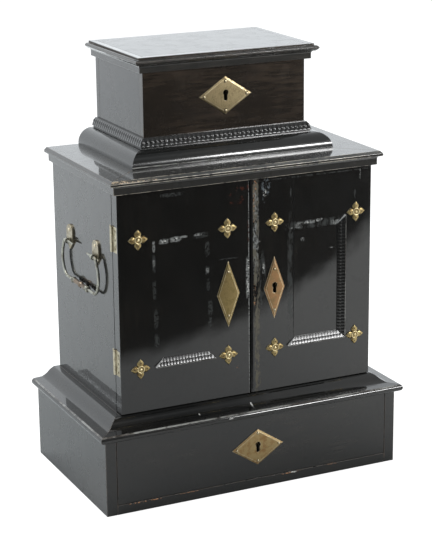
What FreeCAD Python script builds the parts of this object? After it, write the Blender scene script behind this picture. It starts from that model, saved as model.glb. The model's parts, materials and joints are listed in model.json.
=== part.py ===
import FreeCAD, Part
import os
from math import asin, cos, sin, tan

# Ebonised table cabinet: a drawer base, a two-door case on it and a small lidded box on top.
# Millimetres. X to the right, Y to the back, Z up. The origin is under the middle of the
# whole outline, on the surface that the base stands on.

# Base with one full-width drawer
base_width = 400.0
base_depth = 233.0
base_side_height = 96.0
base_side_thickness = 14.0
base_bottom_thickness = 12.5
base_back_thickness = 10.0

# Moulding round the top of the base: a round nose, a slight slope, a hollow and a rounded crown
base_moulding_height = 21.0
base_moulding_width_inside = 30.0
base_nose_out = 8.0
base_nose_height = 9.0
base_nose_foot_depth = 3.8
base_nose_head_depth = 3.0
base_slope_rise = 0.6
base_hollow_start_inside = 5.6
base_hollow_end_inside = 15.0
base_hollow_rise = 5.7
base_crown_end_inside = 23.5
base_bow_share = 0.06

# Drawer in the base
drawer_front_thickness = 16.0
drawer_side_thickness = 8.0
drawer_back_thickness = 8.0
drawer_bottom_thickness = 5.0
drawer_bottom_rise = 3.0
drawer_groove_depth = 3.5
drawer_side_gap = 0.6
drawer_top_gap = 1.2
drawer_front_foot_gap = 0.6
drawer_rim_drop = 6.0
drawer_back_gap = 4.0

# Case behind the two doors, a little nearer to the right end of the base
case_left_ledge = 8.3
case_right_ledge = 2.1
case_height = 274.0
case_side_thickness = 12.0
case_top_edge_thickness = 12.0
case_bottom_thickness = 12.0
case_back_thickness = 8.0
shelf_count = 2
shelf_thickness = 8.0
shelf_setback = 12.0
shelf_groove_depth = 4.0

# Doors laid over the front edges of the case
door_front_setback = 23.6
door_thickness = 15.0
door_hinge_gap = 1.6
door_head_gap = 1.0
door_foot_gap = 1.0
door_meeting_gap = 2.0
door_meeting_shift_right = 2.5

# Cornice round the top of the case: a fascia, a hollow, a rounded tip and a sloped arris
cornice_height = 17.8
cornice_width_inside = 46.0
cornice_fascia_out = 5.5
cornice_fascia_height = 8.0
cornice_hollow_out = 9.5
cornice_hollow_rise = 3.0
cornice_tip_out = 11.0
cornice_tip_height = 3.8
cornice_arris_out = 7.8

# Lidded box on top
box_end_setback = 62.2
box_front_setback = 84.3
box_height = 111.1
box_wall_thickness = 10.0
box_bottom_thickness = 8.0

# Quarter-round plinth of the box, with a small fillet on it
ovolo_foot_out = 26.6
ovolo_foot_height = 2.0
ovolo_height = 19.9
ovolo_top_out = 7.6
ovolo_fillet_out = 5.5
ovolo_fillet_height = 2.0

# Ripple strip round the foot of the box
box_ripple_height = 10.0
box_ripple_foot_out = 7.1
box_ripple_head_out = 4.0

# Lid: a thick board with a moulding on its front and ends
lid_thickness = 19.1
lid_fascia_out = 6.2
lid_fascia_height = 7.0
lid_hollow_out = 10.5
lid_hollow_rise = 3.0
lid_tip_out = 13.9
lid_tip_rise = 3.2
lid_tip_height = 1.8
lid_bead_out = 11.4
lid_bead_rise = 1.6
lid_arris_out = 8.8

# Brass butt hinges, shared sizes
hinge_leaf_thickness = 1.2
hinge_barrel_radius = 2.2
hinge_pin_radius = 1.0
hinge_pin_clearance = 0.05
hinge_knuckle_clearance = 0.3
hinge_axis_out = 0.4
hinge_knuckle_count = 3

# Door hinges
door_hinge_height = 31.5
door_hinge_case_leaf_width = 7.5
door_hinge_door_leaf_width = 13.5
door_upper_hinge_drop = 55.5
door_lower_hinge_rise = 62.8

# Lid hinges
lid_hinge_length = 32.0
lid_hinge_leaf_width = 8.0
lid_hinge_end_distance = 45.0

# Keyholes, and the drill pin of each lock in them
keyhole_round_radius = 3.2
keyhole_slot_width = 4.0
keyhole_height = 13.8
lock_pin_radius = 1.1

# Brass lozenges of the drawer and the box, with keyholes
wide_lozenge_width = 71.0
wide_lozenge_height = 47.0
lozenge_thickness = 1.6
lozenge_bevel = 0.8
drawer_lozenge_shift_right = 3.0
drawer_lozenge_drop = 40.3
box_lozenge_drop = 36.5

# Tall brass lozenges of the doors
left_lozenge_width = 30.5
left_lozenge_height = 84.0
left_lozenge_from_meeting_edge = 29.0
right_lozenge_width = 28.6
right_lozenge_height = 80.0
right_lozenge_from_meeting_edge = 31.9
door_lozenge_below_middle = 2.6

# Brass quatrefoil rosettes of the doors
rosette_span = 27.0
rosette_petal_width = 11.0
rosette_neck_width = 7.0
rosette_thickness = 1.4
rosette_boss_radius = 4.6
rosette_boss_height = 1.2
left_rosette_from_hinge_edge = 25.8
left_rosette_from_meeting_edge = 29.5
right_rosette_from_hinge_edge = 21.6
right_rosette_from_meeting_edge = 32.5
upper_rosette_drop = 56.7
lower_rosette_rise = 54.3

# Ripple strips left on the doors, parts of a square frame
door_strip_width = 10.5
door_strip_height = 4.6
door_strip_inner_height = 3.2
door_frame_foot_rise = 53.5
door_frame_head_drop = 58.5
left_frame_from_hinge_edge = 45.6
left_frame_from_meeting_edge = 47.2
right_frame_from_hinge_edge = 37.0
right_frame_from_meeting_edge = 50.8

# Lock of the right door, let into its inner face
door_lock_length = 50.0
door_lock_height = 38.0
door_lock_thickness = 8.0
door_bolt_height = 9.0
door_bolt_drop = 1.8
door_bolt_thickness = 4.0
door_bolt_length = 24.0
door_bolt_set_back = 0.5
door_bolt_throw = 8.0
lock_bolt_clearance = 0.2
mortise_clearance = 0.8

# Lock of the drawer, let into the inner face of its front
drawer_lock_width = 46.0
drawer_lock_height = 50.0
drawer_lock_thickness = 9.0
drawer_bolt_width = 18.0
drawer_bolt_thickness = 4.0
drawer_bolt_length = 15.0
drawer_bolt_set_back = 0.5
drawer_bolt_throw = 7.0

# Lock of the box, behind its front wall, and the staple of the lid that it holds
box_lock_width = 44.0
box_lock_height = 50.0
box_lock_thickness = 10.0
lid_staple_width = 3.0
lid_staple_depth = 5.0
lid_staple_drop = 10.0
lid_staple_plate_width = 16.0
lid_staple_plate_depth = 8.0
lid_staple_plate_thickness = 1.2
lid_staple_eye_height = 4.0
lid_staple_eye_depth = 2.4
lid_staple_clearance = 1.0
box_bolt_height = 3.0
box_bolt_thickness = 1.8
box_bolt_length = 15.0
box_bolt_throw = 9.0
box_bolt_start_gap = 1.0

# Upright bolt on the inner face of the left door
door_slide_bolt_width = 5.0
door_slide_bolt_length = 44.0
door_slide_bolt_head_gap = 2.0
door_slide_bolt_throw = 10.0
door_slide_bolt_from_meeting_edge = 14.0
door_slide_plate_width = 14.0
door_slide_plate_height = 40.0
door_slide_plate_thickness = 1.5
door_slide_plate_drop = 12.0
door_slide_loop_height = 6.0
door_slide_loop_wall = 1.6

# Side handles
handle_from_back = 100.0
handle_pivot_rise = 183.0
handle_eye_spacing = 86.0
handle_stand_off = 5.6
handle_plate_width = 20.0
handle_plate_above_pivot = 20.5
handle_plate_below_pivot = 11.5
handle_plate_thickness = 2.3
handle_eye_radius = 3.4
handle_eye_length = 4.0
handle_shank_radius = 1.8
handle_shank_in_wood = 7.0
bail_rod_radius = 1.5
bail_eye_clearance = 0.1
bail_drop = 46.0
bail_half_width = 63.0
bail_shoulder_out = 9.0
bail_bottom_half_length = 52.0
bail_belly_share = 0.52
bail_shoulder_bend_radius = 6.0
bail_belly_bend_radius = 26.0
bail_bottom_bend_radius = 13.0
bail_tail_length = 20.0
bail_tail_end_radius = 0.6
bail_grip_length = 50.0
bail_grip_radius = 3.0
bail_ring_radius = 3.6
bail_ring_width = 2.6
bail_grip_neck_radius = 2.1

# Levels
base_top_z = base_side_height + base_moulding_height
case_top_z = base_top_z + case_height
case_rebate_z = case_top_z + case_top_edge_thickness
cornice_top_z = case_top_z + cornice_height
ovolo_top_z = cornice_top_z + ovolo_height
ripple_foot_z = ovolo_top_z + ovolo_fillet_height
box_top_z = cornice_top_z + box_height
lid_top_z = box_top_z + lid_thickness

# Places from front to back
lid_barrel_out = hinge_axis_out + hinge_barrel_radius
back_y = (base_depth + base_nose_out - lid_barrel_out) / 2
base_front_y = back_y - base_depth
door_front_y = base_front_y + door_front_setback
door_back_y = door_front_y + door_thickness
case_front_y = door_back_y + door_hinge_gap
box_front_y = base_front_y + box_front_setback

# Places from left to right
base_left_x = -base_width / 2
base_right_x = base_width / 2
case_left_x = base_left_x + base_crown_end_inside + case_left_ledge
case_right_x = base_right_x - base_crown_end_inside - case_right_ledge
case_centre_x = (case_left_x + case_right_x) / 2
meeting_x = case_centre_x + door_meeting_shift_right
left_door_edge_x = meeting_x - door_meeting_gap / 2
right_door_edge_x = meeting_x + door_meeting_gap / 2
box_left_x = case_left_x + box_end_setback
box_right_x = case_right_x - box_end_setback

# Door heights
door_foot_z = base_top_z + door_foot_gap
door_head_z = case_top_z - door_head_gap
lower_rosette_z = door_foot_z + lower_rosette_rise
upper_rosette_z = door_head_z - upper_rosette_drop
door_lock_z = (lower_rosette_z + upper_rosette_z) / 2 - door_lozenge_below_middle

# Keyhole centres
drawer_head_z = base_side_height - drawer_top_gap
drawer_keyhole_z = drawer_head_z - drawer_lozenge_drop
box_keyhole_z = box_top_z - box_lozenge_drop
right_keyhole_x = right_door_edge_x + right_lozenge_from_meeting_edge


def point(x, y, z):
    return FreeCAD.Vector(x, y, z)


def board(x_a, x_b, y_a, y_b, z_a, z_b):
    """A plain board between two planes each way, given in either order."""
    low = point(min(x_a, x_b), min(y_a, y_b), min(z_a, z_b))
    return Part.makeBox(abs(x_b - x_a), abs(y_b - y_a), abs(z_b - z_a), low)


def rod(radius, start, end):
    """A round rod from one point to another."""
    path = end.sub(start)
    return Part.makeCylinder(radius, path.Length, start, path)


def polygon_prism(corners, path):
    """A prism on a flat polygon."""
    return Part.Face(Part.makePolygon(corners + corners[:1])).extrude(path)


def line(start, end):
    return Part.LineSegment(start, end).toShape()


def arc(start, middle, end):
    return Part.Arc(start, middle, end).toShape()


def quarter_hollow(start, end):
    """The middle point of a hollow quarter round between two points of a moulding's outline,
    which leaves its lower end upright and meets its upper end level."""
    sag_share = 0.293
    out_start, rise_start = start
    out_end, rise_end = end
    return (out_start + (out_end - out_start) * sag_share,
            rise_end - (rise_end - rise_start) * sag_share)


def shallow_bow(start, end, bow_share):
    """The middle point of a shallow arc that rises inward between two points of a moulding's
    outline. It swells up and out by a share of its length, or is hollow where the share is
    below zero."""
    out_start, rise_start = start
    out_end, rise_end = end
    return ((out_start + out_end) / 2 + (rise_end - rise_start) * bow_share,
            (rise_start + rise_end) / 2 + (out_start - out_end) * bow_share)


def mitred_run(outline, left_x, right_x, front_y, out, inside):
    """Front, left and right lengths of a moulding, mitred at the two front corners.
    outline(place) draws the section, where place turns a distance out from the wall
    and a height into a point. The side lengths end at the back."""
    outer_front = front_y - out
    front_plan = [
        point(left_x - out, outer_front, 0),
        point(right_x + out, outer_front, 0),
        point(right_x - inside, front_y + inside, 0),
        point(left_x + inside, front_y + inside, 0),
    ]
    left_plan = [front_plan[0], front_plan[3], point(left_x + inside, back_y, 0),
                 point(left_x - out, back_y, 0)]
    right_plan = [front_plan[1], front_plan[2], point(right_x - inside, back_y, 0),
                  point(right_x + out, back_y, 0)]
    front_wire = outline(lambda o, z: point(left_x - out, front_y - o, z))
    left_wire = outline(lambda o, z: point(left_x - o, outer_front, z))
    right_wire = outline(lambda o, z: point(right_x + o, outer_front, z))
    across = point(right_x - left_x + 2 * out, 0, 0)
    along = point(0, back_y - outer_front, 0)
    pieces = []
    for wire, path, plan in (
        (front_wire, across, front_plan),
        (left_wire, along, left_plan),
        (right_wire, along, right_plan),
    ):
        prism = Part.Face(wire).extrude(path)
        limit = polygon_prism(plan, point(0, 0, lid_top_z))
        pieces.append(prism.common(limit).Solids[0])
    return pieces


def keyhole(x, z, y_a, y_b):
    """A keyhole through a wall that faces the front, centred on a height."""
    round_z = z + keyhole_height / 2 - keyhole_round_radius
    foot_z = z - keyhole_height / 2
    near_y = min(y_a, y_b)
    far_y = max(y_a, y_b)
    opening = rod(keyhole_round_radius, point(x, near_y, round_z), point(x, far_y, round_z))
    slot = board(x - keyhole_slot_width / 2, x + keyhole_slot_width / 2, near_y, far_y, foot_z, round_z)
    return opening.fuse(slot)


def drill_pin(x, z, y_a, y_b):
    """The pin inside a lock that a hollow key turns on."""
    round_z = z + keyhole_height / 2 - keyhole_round_radius
    return rod(lock_pin_radius, point(x, y_a, round_z), point(x, y_b, round_z))


def lozenge(x, z, width, height, wall_y):
    """A flat rhombic plate on a front face, bevelled along its front edges."""
    half_width = width / 2
    half_height = height / 2
    corners = [
        point(x - half_width, wall_y, z),
        point(x, wall_y, z - half_height),
        point(x + half_width, wall_y, z),
        point(x, wall_y, z + half_height),
    ]
    plate = polygon_prism(corners, point(0, -lozenge_thickness, 0))
    front_y = wall_y - lozenge_thickness
    front_edges = [edge for edge in plate.Edges if edge.BoundBox.YMax < front_y + lozenge_bevel / 2]
    return plate.makeChamfer(lozenge_bevel, front_edges)


def keyhole_lozenge(x, z, width, height, wall_y):
    plate = lozenge(x, z, width, height, wall_y)
    return plate.cut(keyhole(x, z, wall_y, wall_y - lozenge_thickness)).Solids[0]


# Base


def base_moulding_outline(place):
    """Round nose, slight slope, hollow and rounded crown, and a level top for the case."""
    foot = base_side_height
    nose_foot = (base_nose_out - base_nose_foot_depth, foot)
    nose_tip = (base_nose_out, foot + base_nose_height / 2)
    nose_head = (base_nose_out - base_nose_head_depth, foot + base_nose_height)
    hollow_start = (-base_hollow_start_inside, nose_head[1] + base_slope_rise)
    hollow_end = (-base_hollow_end_inside, hollow_start[1] + base_hollow_rise)
    crown_end = (-base_crown_end_inside, base_top_z)
    hollow_middle = shallow_bow(hollow_start, hollow_end, -base_bow_share)
    crown_middle = shallow_bow(hollow_end, crown_end, base_bow_share)
    inner = -base_moulding_width_inside
    return Part.Wire([
        line(place(inner, foot), place(*nose_foot)),
        arc(place(*nose_foot), place(*nose_tip), place(*nose_head)),
        line(place(*nose_head), place(*hollow_start)),
        arc(place(*hollow_start), place(*hollow_middle), place(*hollow_end)),
        arc(place(*hollow_end), place(*crown_middle), place(*crown_end)),
        line(place(*crown_end), place(inner, base_top_z)),
        line(place(inner, base_top_z), place(inner, foot)),
    ])


def base_mouldings():
    return mitred_run(base_moulding_outline, base_left_x, base_right_x, base_front_y,
                      base_nose_out, base_moulding_width_inside)


def base_side(outer_x, inward):
    return board(outer_x, outer_x + inward * base_side_thickness, base_front_y, back_y, 0, base_side_height)


def base_bottom():
    return board(base_left_x + base_side_thickness, base_right_x - base_side_thickness,
                 base_front_y, back_y, 0, base_bottom_thickness)


def base_back():
    return board(base_left_x + base_side_thickness, base_right_x - base_side_thickness,
                 back_y - base_back_thickness, back_y, base_bottom_thickness, base_side_height)


def base_top():
    """The board that the mouldings frame and the case stands on."""
    inset = base_moulding_width_inside
    return board(base_left_x + inset, base_right_x - inset, base_front_y + inset, back_y,
                 base_side_height, base_top_z)


def drawer_bolt_mortise():
    """A pocket over the drawer's bolt, in the underside of the front moulding."""
    head = drawer_bolt_box(drawer_bolt_throw)
    low = head.BoundBox
    return board(low.XMin - mortise_clearance, low.XMax + mortise_clearance,
                 low.YMin - mortise_clearance, low.YMax + mortise_clearance,
                 base_side_height, low.ZMax + mortise_clearance)


# Drawer


def drawer_limits():
    """Left, right, foot and head planes of the drawer."""
    left = base_left_x + base_side_thickness + drawer_side_gap
    right = base_right_x - base_side_thickness - drawer_side_gap
    return left, right, base_bottom_thickness, drawer_head_z


def drawer_back_plane():
    return back_y - base_back_thickness - drawer_back_gap


def drawer_panel_z():
    return base_bottom_thickness + drawer_bottom_rise


def drawer_bottom():
    left, right, foot, head = drawer_limits()
    reach = drawer_side_thickness - drawer_groove_depth
    return board(left + reach, right - reach,
                 base_front_y + drawer_front_thickness - drawer_groove_depth, drawer_back_plane(),
                 drawer_panel_z(), drawer_panel_z() + drawer_bottom_thickness)


def drawer_lock_block():
    """The space that the drawer lock fills in the inner face of the drawer front."""
    x = drawer_lozenge_shift_right
    left, right, foot, head = drawer_limits()
    inner_y = base_front_y + drawer_front_thickness
    return board(x - drawer_lock_width / 2, x + drawer_lock_width / 2,
                 inner_y - drawer_lock_thickness, inner_y, head - drawer_lock_height, head)


def drawer_bolt_box(lift):
    """The drawer's bolt, lifted by some of its throw."""
    x = drawer_lozenge_shift_right
    left, right, foot, head = drawer_limits()
    middle_y = base_front_y + drawer_front_thickness - drawer_lock_thickness / 2
    top = head - drawer_bolt_set_back + lift
    return board(x - drawer_bolt_width / 2, x + drawer_bolt_width / 2,
                 middle_y - drawer_bolt_thickness / 2, middle_y + drawer_bolt_thickness / 2,
                 top - drawer_bolt_length, top)


def drawer_front():
    left, right, foot, head = drawer_limits()
    plate = board(left, right, base_front_y, base_front_y + drawer_front_thickness,
                  foot + drawer_front_foot_gap, head)
    plate = plate.cut(drawer_bottom())
    plate = plate.cut(drawer_lock_block())
    x = drawer_lozenge_shift_right
    return plate.cut(keyhole(x, drawer_keyhole_z, base_front_y, base_front_y + drawer_front_thickness))


def drawer_side(outer_x, inward):
    left, right, foot, head = drawer_limits()
    plate = board(outer_x, outer_x + inward * drawer_side_thickness,
                  base_front_y + drawer_front_thickness, drawer_back_plane(), foot, head - drawer_rim_drop)
    return plate.cut(drawer_bottom())


def drawer_back():
    left, right, foot, head = drawer_limits()
    return board(left + drawer_side_thickness, right - drawer_side_thickness,
                 drawer_back_plane() - drawer_back_thickness, drawer_back_plane(),
                 drawer_panel_z() + drawer_bottom_thickness, head - drawer_rim_drop)


def drawer_lock_case():
    block = drawer_lock_block()
    bounds = block.BoundBox
    channel = drawer_bolt_box(0).BoundBox
    gap = lock_bolt_clearance
    block = block.cut(board(channel.XMin - gap, channel.XMax + gap, channel.YMin - gap, channel.YMax + gap,
                            channel.ZMin, bounds.ZMax))
    x = drawer_lozenge_shift_right
    middle_y = (bounds.YMin + bounds.YMax) / 2
    block = block.cut(keyhole(x, drawer_keyhole_z, bounds.YMin, middle_y))
    return block.fuse(drill_pin(x, drawer_keyhole_z, bounds.YMin, bounds.YMax)).removeSplitter()


def drawer_escutcheon():
    return keyhole_lozenge(drawer_lozenge_shift_right, drawer_keyhole_z, wide_lozenge_width,
                           wide_lozenge_height, base_front_y)


# Case


def shelf_levels():
    """Underside of each shelf, with equal spaces between."""
    clear = case_top_z - base_top_z - case_bottom_thickness - shelf_count * shelf_thickness
    space = clear / (shelf_count + 1)
    first = base_top_z + case_bottom_thickness + space
    return [first + number * (space + shelf_thickness) for number in range(shelf_count)]


def shelves():
    reach = case_side_thickness - shelf_groove_depth
    return [board(case_left_x + reach, case_right_x - reach, case_front_y + shelf_setback,
                  back_y - case_back_thickness, level, level + shelf_thickness)
            for level in shelf_levels()]


def case_side(outer_x, side_sign):
    """An upright of the case, grooved for the shelves and let in for the hinges and the handle's shanks."""
    plate = board(outer_x, outer_x - side_sign * case_side_thickness, case_front_y, back_y,
                  base_top_z, case_top_z)
    for shelf in shelves():
        plate = plate.cut(shelf)
    for middle_z in door_hinge_levels():
        plate = plate.cut(door_hinge_case_recess(side_sign, middle_z))
        plate = plate.cut(door_hinge_pocket(side_sign, middle_z))
    for eye_y in handle_eye_places():
        plate = plate.cut(handle_shank(side_sign, eye_y))
    return plate


def case_bottom():
    return board(case_left_x + case_side_thickness, case_right_x - case_side_thickness,
                 case_front_y, back_y - case_back_thickness, base_top_z, base_top_z + case_bottom_thickness)


def case_back():
    return board(case_left_x + case_side_thickness, case_right_x - case_side_thickness,
                 back_y - case_back_thickness, back_y, base_top_z, case_top_z)


def case_top():
    """The top board reaches forward over the doors and takes the left door's bolt. A rebate round
    its front and ends takes the leaf of the cornice, and the box stands on the raised middle."""
    inset = cornice_width_inside
    plate = board(case_left_x, case_right_x, door_front_y, back_y, case_top_z, case_rebate_z)
    raised = board(case_left_x + inset, case_right_x - inset, door_front_y + inset, back_y,
                   case_rebate_z, cornice_top_z)
    plate = plate.fuse(raised).removeSplitter()
    bolt = door_slide_bolt(door_slide_bolt_throw).BoundBox
    gap = mortise_clearance
    return plate.cut(board(bolt.XMin - gap, bolt.XMax + gap, bolt.YMin - gap, bolt.YMax + gap,
                           case_top_z, bolt.ZMax + gap))


def cornice_outline(place):
    """Fascia, hollow, tip and sloped arris outside the case, and a leaf over its top board."""
    foot = case_top_z
    leaf_foot = case_rebate_z
    hollow_start = (cornice_fascia_out, foot + cornice_fascia_height)
    hollow_end = (cornice_hollow_out, foot + cornice_fascia_height + cornice_hollow_rise)
    hollow_middle = quarter_hollow(hollow_start, hollow_end)
    tip_foot = (cornice_tip_out, hollow_end[1] + (cornice_tip_out - cornice_hollow_out) / 2)
    tip_head = (cornice_tip_out, hollow_end[1] + cornice_tip_height)
    arris = (cornice_arris_out, cornice_top_z)
    inner = -cornice_width_inside
    return Part.Wire([
        line(place(0, foot), place(cornice_fascia_out, foot)),
        line(place(cornice_fascia_out, foot), place(*hollow_start)),
        arc(place(*hollow_start), place(*hollow_middle), place(*hollow_end)),
        line(place(*hollow_end), place(*tip_foot)),
        line(place(*tip_foot), place(*tip_head)),
        line(place(*tip_head), place(*arris)),
        line(place(*arris), place(inner, cornice_top_z)),
        line(place(inner, cornice_top_z), place(inner, leaf_foot)),
        line(place(inner, leaf_foot), place(0, leaf_foot)),
        line(place(0, leaf_foot), place(0, foot)),
    ])


def cornice():
    return mitred_run(cornice_outline, case_left_x, case_right_x, door_front_y,
                      cornice_tip_out, cornice_width_inside)


# Box and lid


def box_side(outer_x, inward):
    return board(outer_x, outer_x + inward * box_wall_thickness, box_front_y + box_wall_thickness,
                 back_y - box_wall_thickness, cornice_top_z, box_top_z)


def box_front():
    inner_y = box_front_y + box_wall_thickness
    plate = board(box_left_x, box_right_x, box_front_y, inner_y, cornice_top_z, box_top_z)
    return plate.cut(keyhole(case_centre_x, box_keyhole_z, box_front_y, inner_y))


def box_back():
    plate = board(box_left_x, box_right_x, back_y - box_wall_thickness, back_y, cornice_top_z, box_top_z)
    for middle_x in lid_hinge_places():
        plate = plate.cut(lid_hinge_leaf_space(middle_x, -1))
        plate = plate.cut(lid_hinge_pocket(middle_x))
    return plate


def box_bottom():
    wall = box_wall_thickness
    return board(box_left_x + wall, box_right_x - wall, box_front_y + wall, back_y - wall,
                 cornice_top_z, cornice_top_z + box_bottom_thickness)


def ovolo_outline(place):
    """A quarter round on a short upright foot, with a fillet that carries the ripple strip."""
    foot = (ovolo_foot_out, cornice_top_z)
    spring = (ovolo_foot_out, cornice_top_z + ovolo_foot_height)
    crown = (ovolo_top_out, ovolo_top_z)
    swell_share = 0.707
    swell = (crown[0] + (spring[0] - crown[0]) * swell_share,
             spring[1] + (crown[1] - spring[1]) * swell_share)
    return Part.Wire([
        line(place(0, cornice_top_z), place(*foot)),
        line(place(*foot), place(*spring)),
        arc(place(*spring), place(*swell), place(*crown)),
        line(place(*crown), place(ovolo_fillet_out, ovolo_top_z)),
        line(place(ovolo_fillet_out, ovolo_top_z), place(ovolo_fillet_out, ripple_foot_z)),
        line(place(ovolo_fillet_out, ripple_foot_z), place(0, ripple_foot_z)),
        line(place(0, ripple_foot_z), place(0, cornice_top_z)),
    ])


def box_ovolo():
    return mitred_run(ovolo_outline, box_left_x, box_right_x, box_front_y, ovolo_foot_out, 0)


def box_ripple_outline(place):
    head_z = ripple_foot_z + box_ripple_height
    corners = [(0, ripple_foot_z), (box_ripple_foot_out, ripple_foot_z),
               (box_ripple_head_out, head_z), (0, head_z)]
    points = [place(*corner) for corner in corners]
    return Part.makePolygon(points + points[:1])


def box_ripple_strips():
    return mitred_run(box_ripple_outline, box_left_x, box_right_x, box_front_y, box_ripple_foot_out, 0)


def lid_outline(place):
    """Fascia, hollow, rounded tip, bead and a small upright step to the top."""
    hollow_start = (lid_fascia_out, box_top_z + lid_fascia_height)
    hollow_end = (lid_hollow_out, box_top_z + lid_fascia_height + lid_hollow_rise)
    hollow_middle = quarter_hollow(hollow_start, hollow_end)
    tip_foot = (lid_tip_out, hollow_end[1] + lid_tip_rise)
    tip_head = (lid_tip_out, tip_foot[1] + lid_tip_height)
    bead = (lid_bead_out, tip_head[1] + lid_bead_rise)
    step = (lid_arris_out, bead[1])
    arris = (lid_arris_out, lid_top_z)
    corners = [hollow_end, tip_foot, tip_head, bead, step, arris, (0, lid_top_z), (0, box_top_z),
               (lid_fascia_out, box_top_z), hollow_start]
    edges = [line(place(*a), place(*b)) for a, b in zip(corners, corners[1:])]
    edges.append(arc(place(*hollow_start), place(*hollow_middle), place(*hollow_end)))
    return Part.Wire(edges)


def lid_mouldings():
    return mitred_run(lid_outline, box_left_x, box_right_x, box_front_y, lid_tip_out, 0)


def lid_board():
    plate = board(box_left_x, box_right_x, box_front_y, back_y, box_top_z, lid_top_z)
    for middle_x in lid_hinge_places():
        plate = plate.cut(lid_hinge_leaf_space(middle_x, 1))
        plate = plate.cut(lid_hinge_pocket(middle_x))
    return plate.cut(lid_staple_plate())


# Hinges


def knuckle_spans(start, length):
    """Start and end of each knuckle along a barrel, in order."""
    step = length / hinge_knuckle_count
    return [(start + number * step, start + (number + 1) * step) for number in range(hinge_knuckle_count)]


def hinge_leaf(plate, place, start, length, holds_pin):
    """A leaf with its knuckles, cleared round the other leaf's, and bored for the pin.
    The leaf that holds the pin has the first knuckle and every second one after it, and the
    other leaf turns on the pin. place turns a distance along the axis into a point."""
    spans = knuckle_spans(start, length)
    first_own = 0 if holds_pin else 1
    side_gap = hinge_knuckle_clearance / 2
    for number, (low, high) in enumerate(spans):
        if number % 2 == first_own:
            knuckle_foot = low if number == 0 else low + side_gap
            knuckle_head = high if number == len(spans) - 1 else high - side_gap
            plate = plate.fuse(rod(hinge_barrel_radius, place(knuckle_foot), place(knuckle_head)))
    for number, (low, high) in enumerate(spans):
        if number % 2 != first_own:
            plate = plate.cut(rod(hinge_barrel_radius + hinge_knuckle_clearance,
                                  place(low - side_gap), place(high + side_gap)))
    bore_radius = hinge_pin_radius if holds_pin else hinge_pin_radius + hinge_pin_clearance
    return plate.cut(rod(bore_radius, place(start), place(start + length))).removeSplitter()


def case_face_x(side_sign):
    """The outer face of the left side of the case, or of the right one."""
    return case_left_x if side_sign < 0 else case_right_x


def door_hinge_levels():
    return [door_foot_z + door_lower_hinge_rise, door_head_z - door_upper_hinge_drop]


def door_hinge_axis(side_sign):
    """X and Y of a door's hinge axis, just outside the side of the case, between door and case."""
    return case_face_x(side_sign) + side_sign * hinge_axis_out, (door_back_y + case_front_y) / 2


def door_hinge_place(side_sign):
    axis_x, axis_y = door_hinge_axis(side_sign)
    return lambda z: point(axis_x, axis_y, z)


def door_hinge_pocket(side_sign, middle_z):
    """Room for the barrel in the edges of the door and of the case."""
    half = door_hinge_height / 2 + hinge_knuckle_clearance
    place = door_hinge_place(side_sign)
    radius = hinge_barrel_radius + hinge_knuckle_clearance
    return rod(radius, place(middle_z - half), place(middle_z + half))


def door_hinge_case_recess(side_sign, middle_z):
    axis_x, axis_y = door_hinge_axis(side_sign)
    face_x = case_face_x(side_sign)
    return board(face_x, face_x - side_sign * hinge_leaf_thickness,
                 axis_y, axis_y + door_hinge_case_leaf_width,
                 middle_z - door_hinge_height / 2, middle_z + door_hinge_height / 2)


def door_hinge_door_recess(side_sign, middle_z):
    axis_x, axis_y = door_hinge_axis(side_sign)
    face_x = case_face_x(side_sign)
    return board(face_x, face_x - side_sign * hinge_leaf_thickness,
                 axis_y, axis_y - door_hinge_door_leaf_width,
                 middle_z - door_hinge_height / 2, middle_z + door_hinge_height / 2)


def door_hinge_case_leaf(side_sign, middle_z):
    plate = door_hinge_case_recess(side_sign, middle_z)
    start = middle_z - door_hinge_height / 2
    return hinge_leaf(plate, door_hinge_place(side_sign), start, door_hinge_height, True)


def door_hinge_door_leaf(side_sign, middle_z):
    plate = door_hinge_door_recess(side_sign, middle_z)
    start = middle_z - door_hinge_height / 2
    return hinge_leaf(plate, door_hinge_place(side_sign), start, door_hinge_height, False)


def door_hinge_pin(side_sign, middle_z):
    place = door_hinge_place(side_sign)
    half = door_hinge_height / 2
    return rod(hinge_pin_radius, place(middle_z - half), place(middle_z + half))


def lid_hinge_places():
    return [box_left_x + lid_hinge_end_distance, box_right_x - lid_hinge_end_distance]


def lid_hinge_place():
    return lambda x: point(x, back_y + hinge_axis_out, box_top_z)


def lid_hinge_pocket(middle_x):
    half = lid_hinge_length / 2 + hinge_knuckle_clearance
    place = lid_hinge_place()
    radius = hinge_barrel_radius + hinge_knuckle_clearance
    return rod(radius, place(middle_x - half), place(middle_x + half))


def lid_hinge_leaf_space(middle_x, up_sign):
    """A leaf let into the rim of the box, or with the other sign into the lid."""
    return board(middle_x - lid_hinge_length / 2, middle_x + lid_hinge_length / 2,
                 back_y + hinge_axis_out - lid_hinge_leaf_width, back_y + hinge_axis_out,
                 box_top_z, box_top_z + up_sign * hinge_leaf_thickness)


def lid_hinge_leaf(middle_x, up_sign):
    plate = lid_hinge_leaf_space(middle_x, up_sign)
    start = middle_x - lid_hinge_length / 2
    return hinge_leaf(plate, lid_hinge_place(), start, lid_hinge_length, up_sign < 0)


def lid_hinge_pin(middle_x):
    place = lid_hinge_place()
    half = lid_hinge_length / 2
    return rod(hinge_pin_radius, place(middle_x - half), place(middle_x + half))


# Doors


def door_blank(edge_x, side_sign):
    """A door before its lock and bolt, let in for its two hinges."""
    outer_x = case_face_x(side_sign)
    plate = board(edge_x, outer_x, door_front_y, door_back_y, door_foot_z, door_head_z)
    for middle_z in door_hinge_levels():
        plate = plate.cut(door_hinge_door_recess(side_sign, middle_z))
        plate = plate.cut(door_hinge_pocket(side_sign, middle_z))
    return plate


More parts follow.
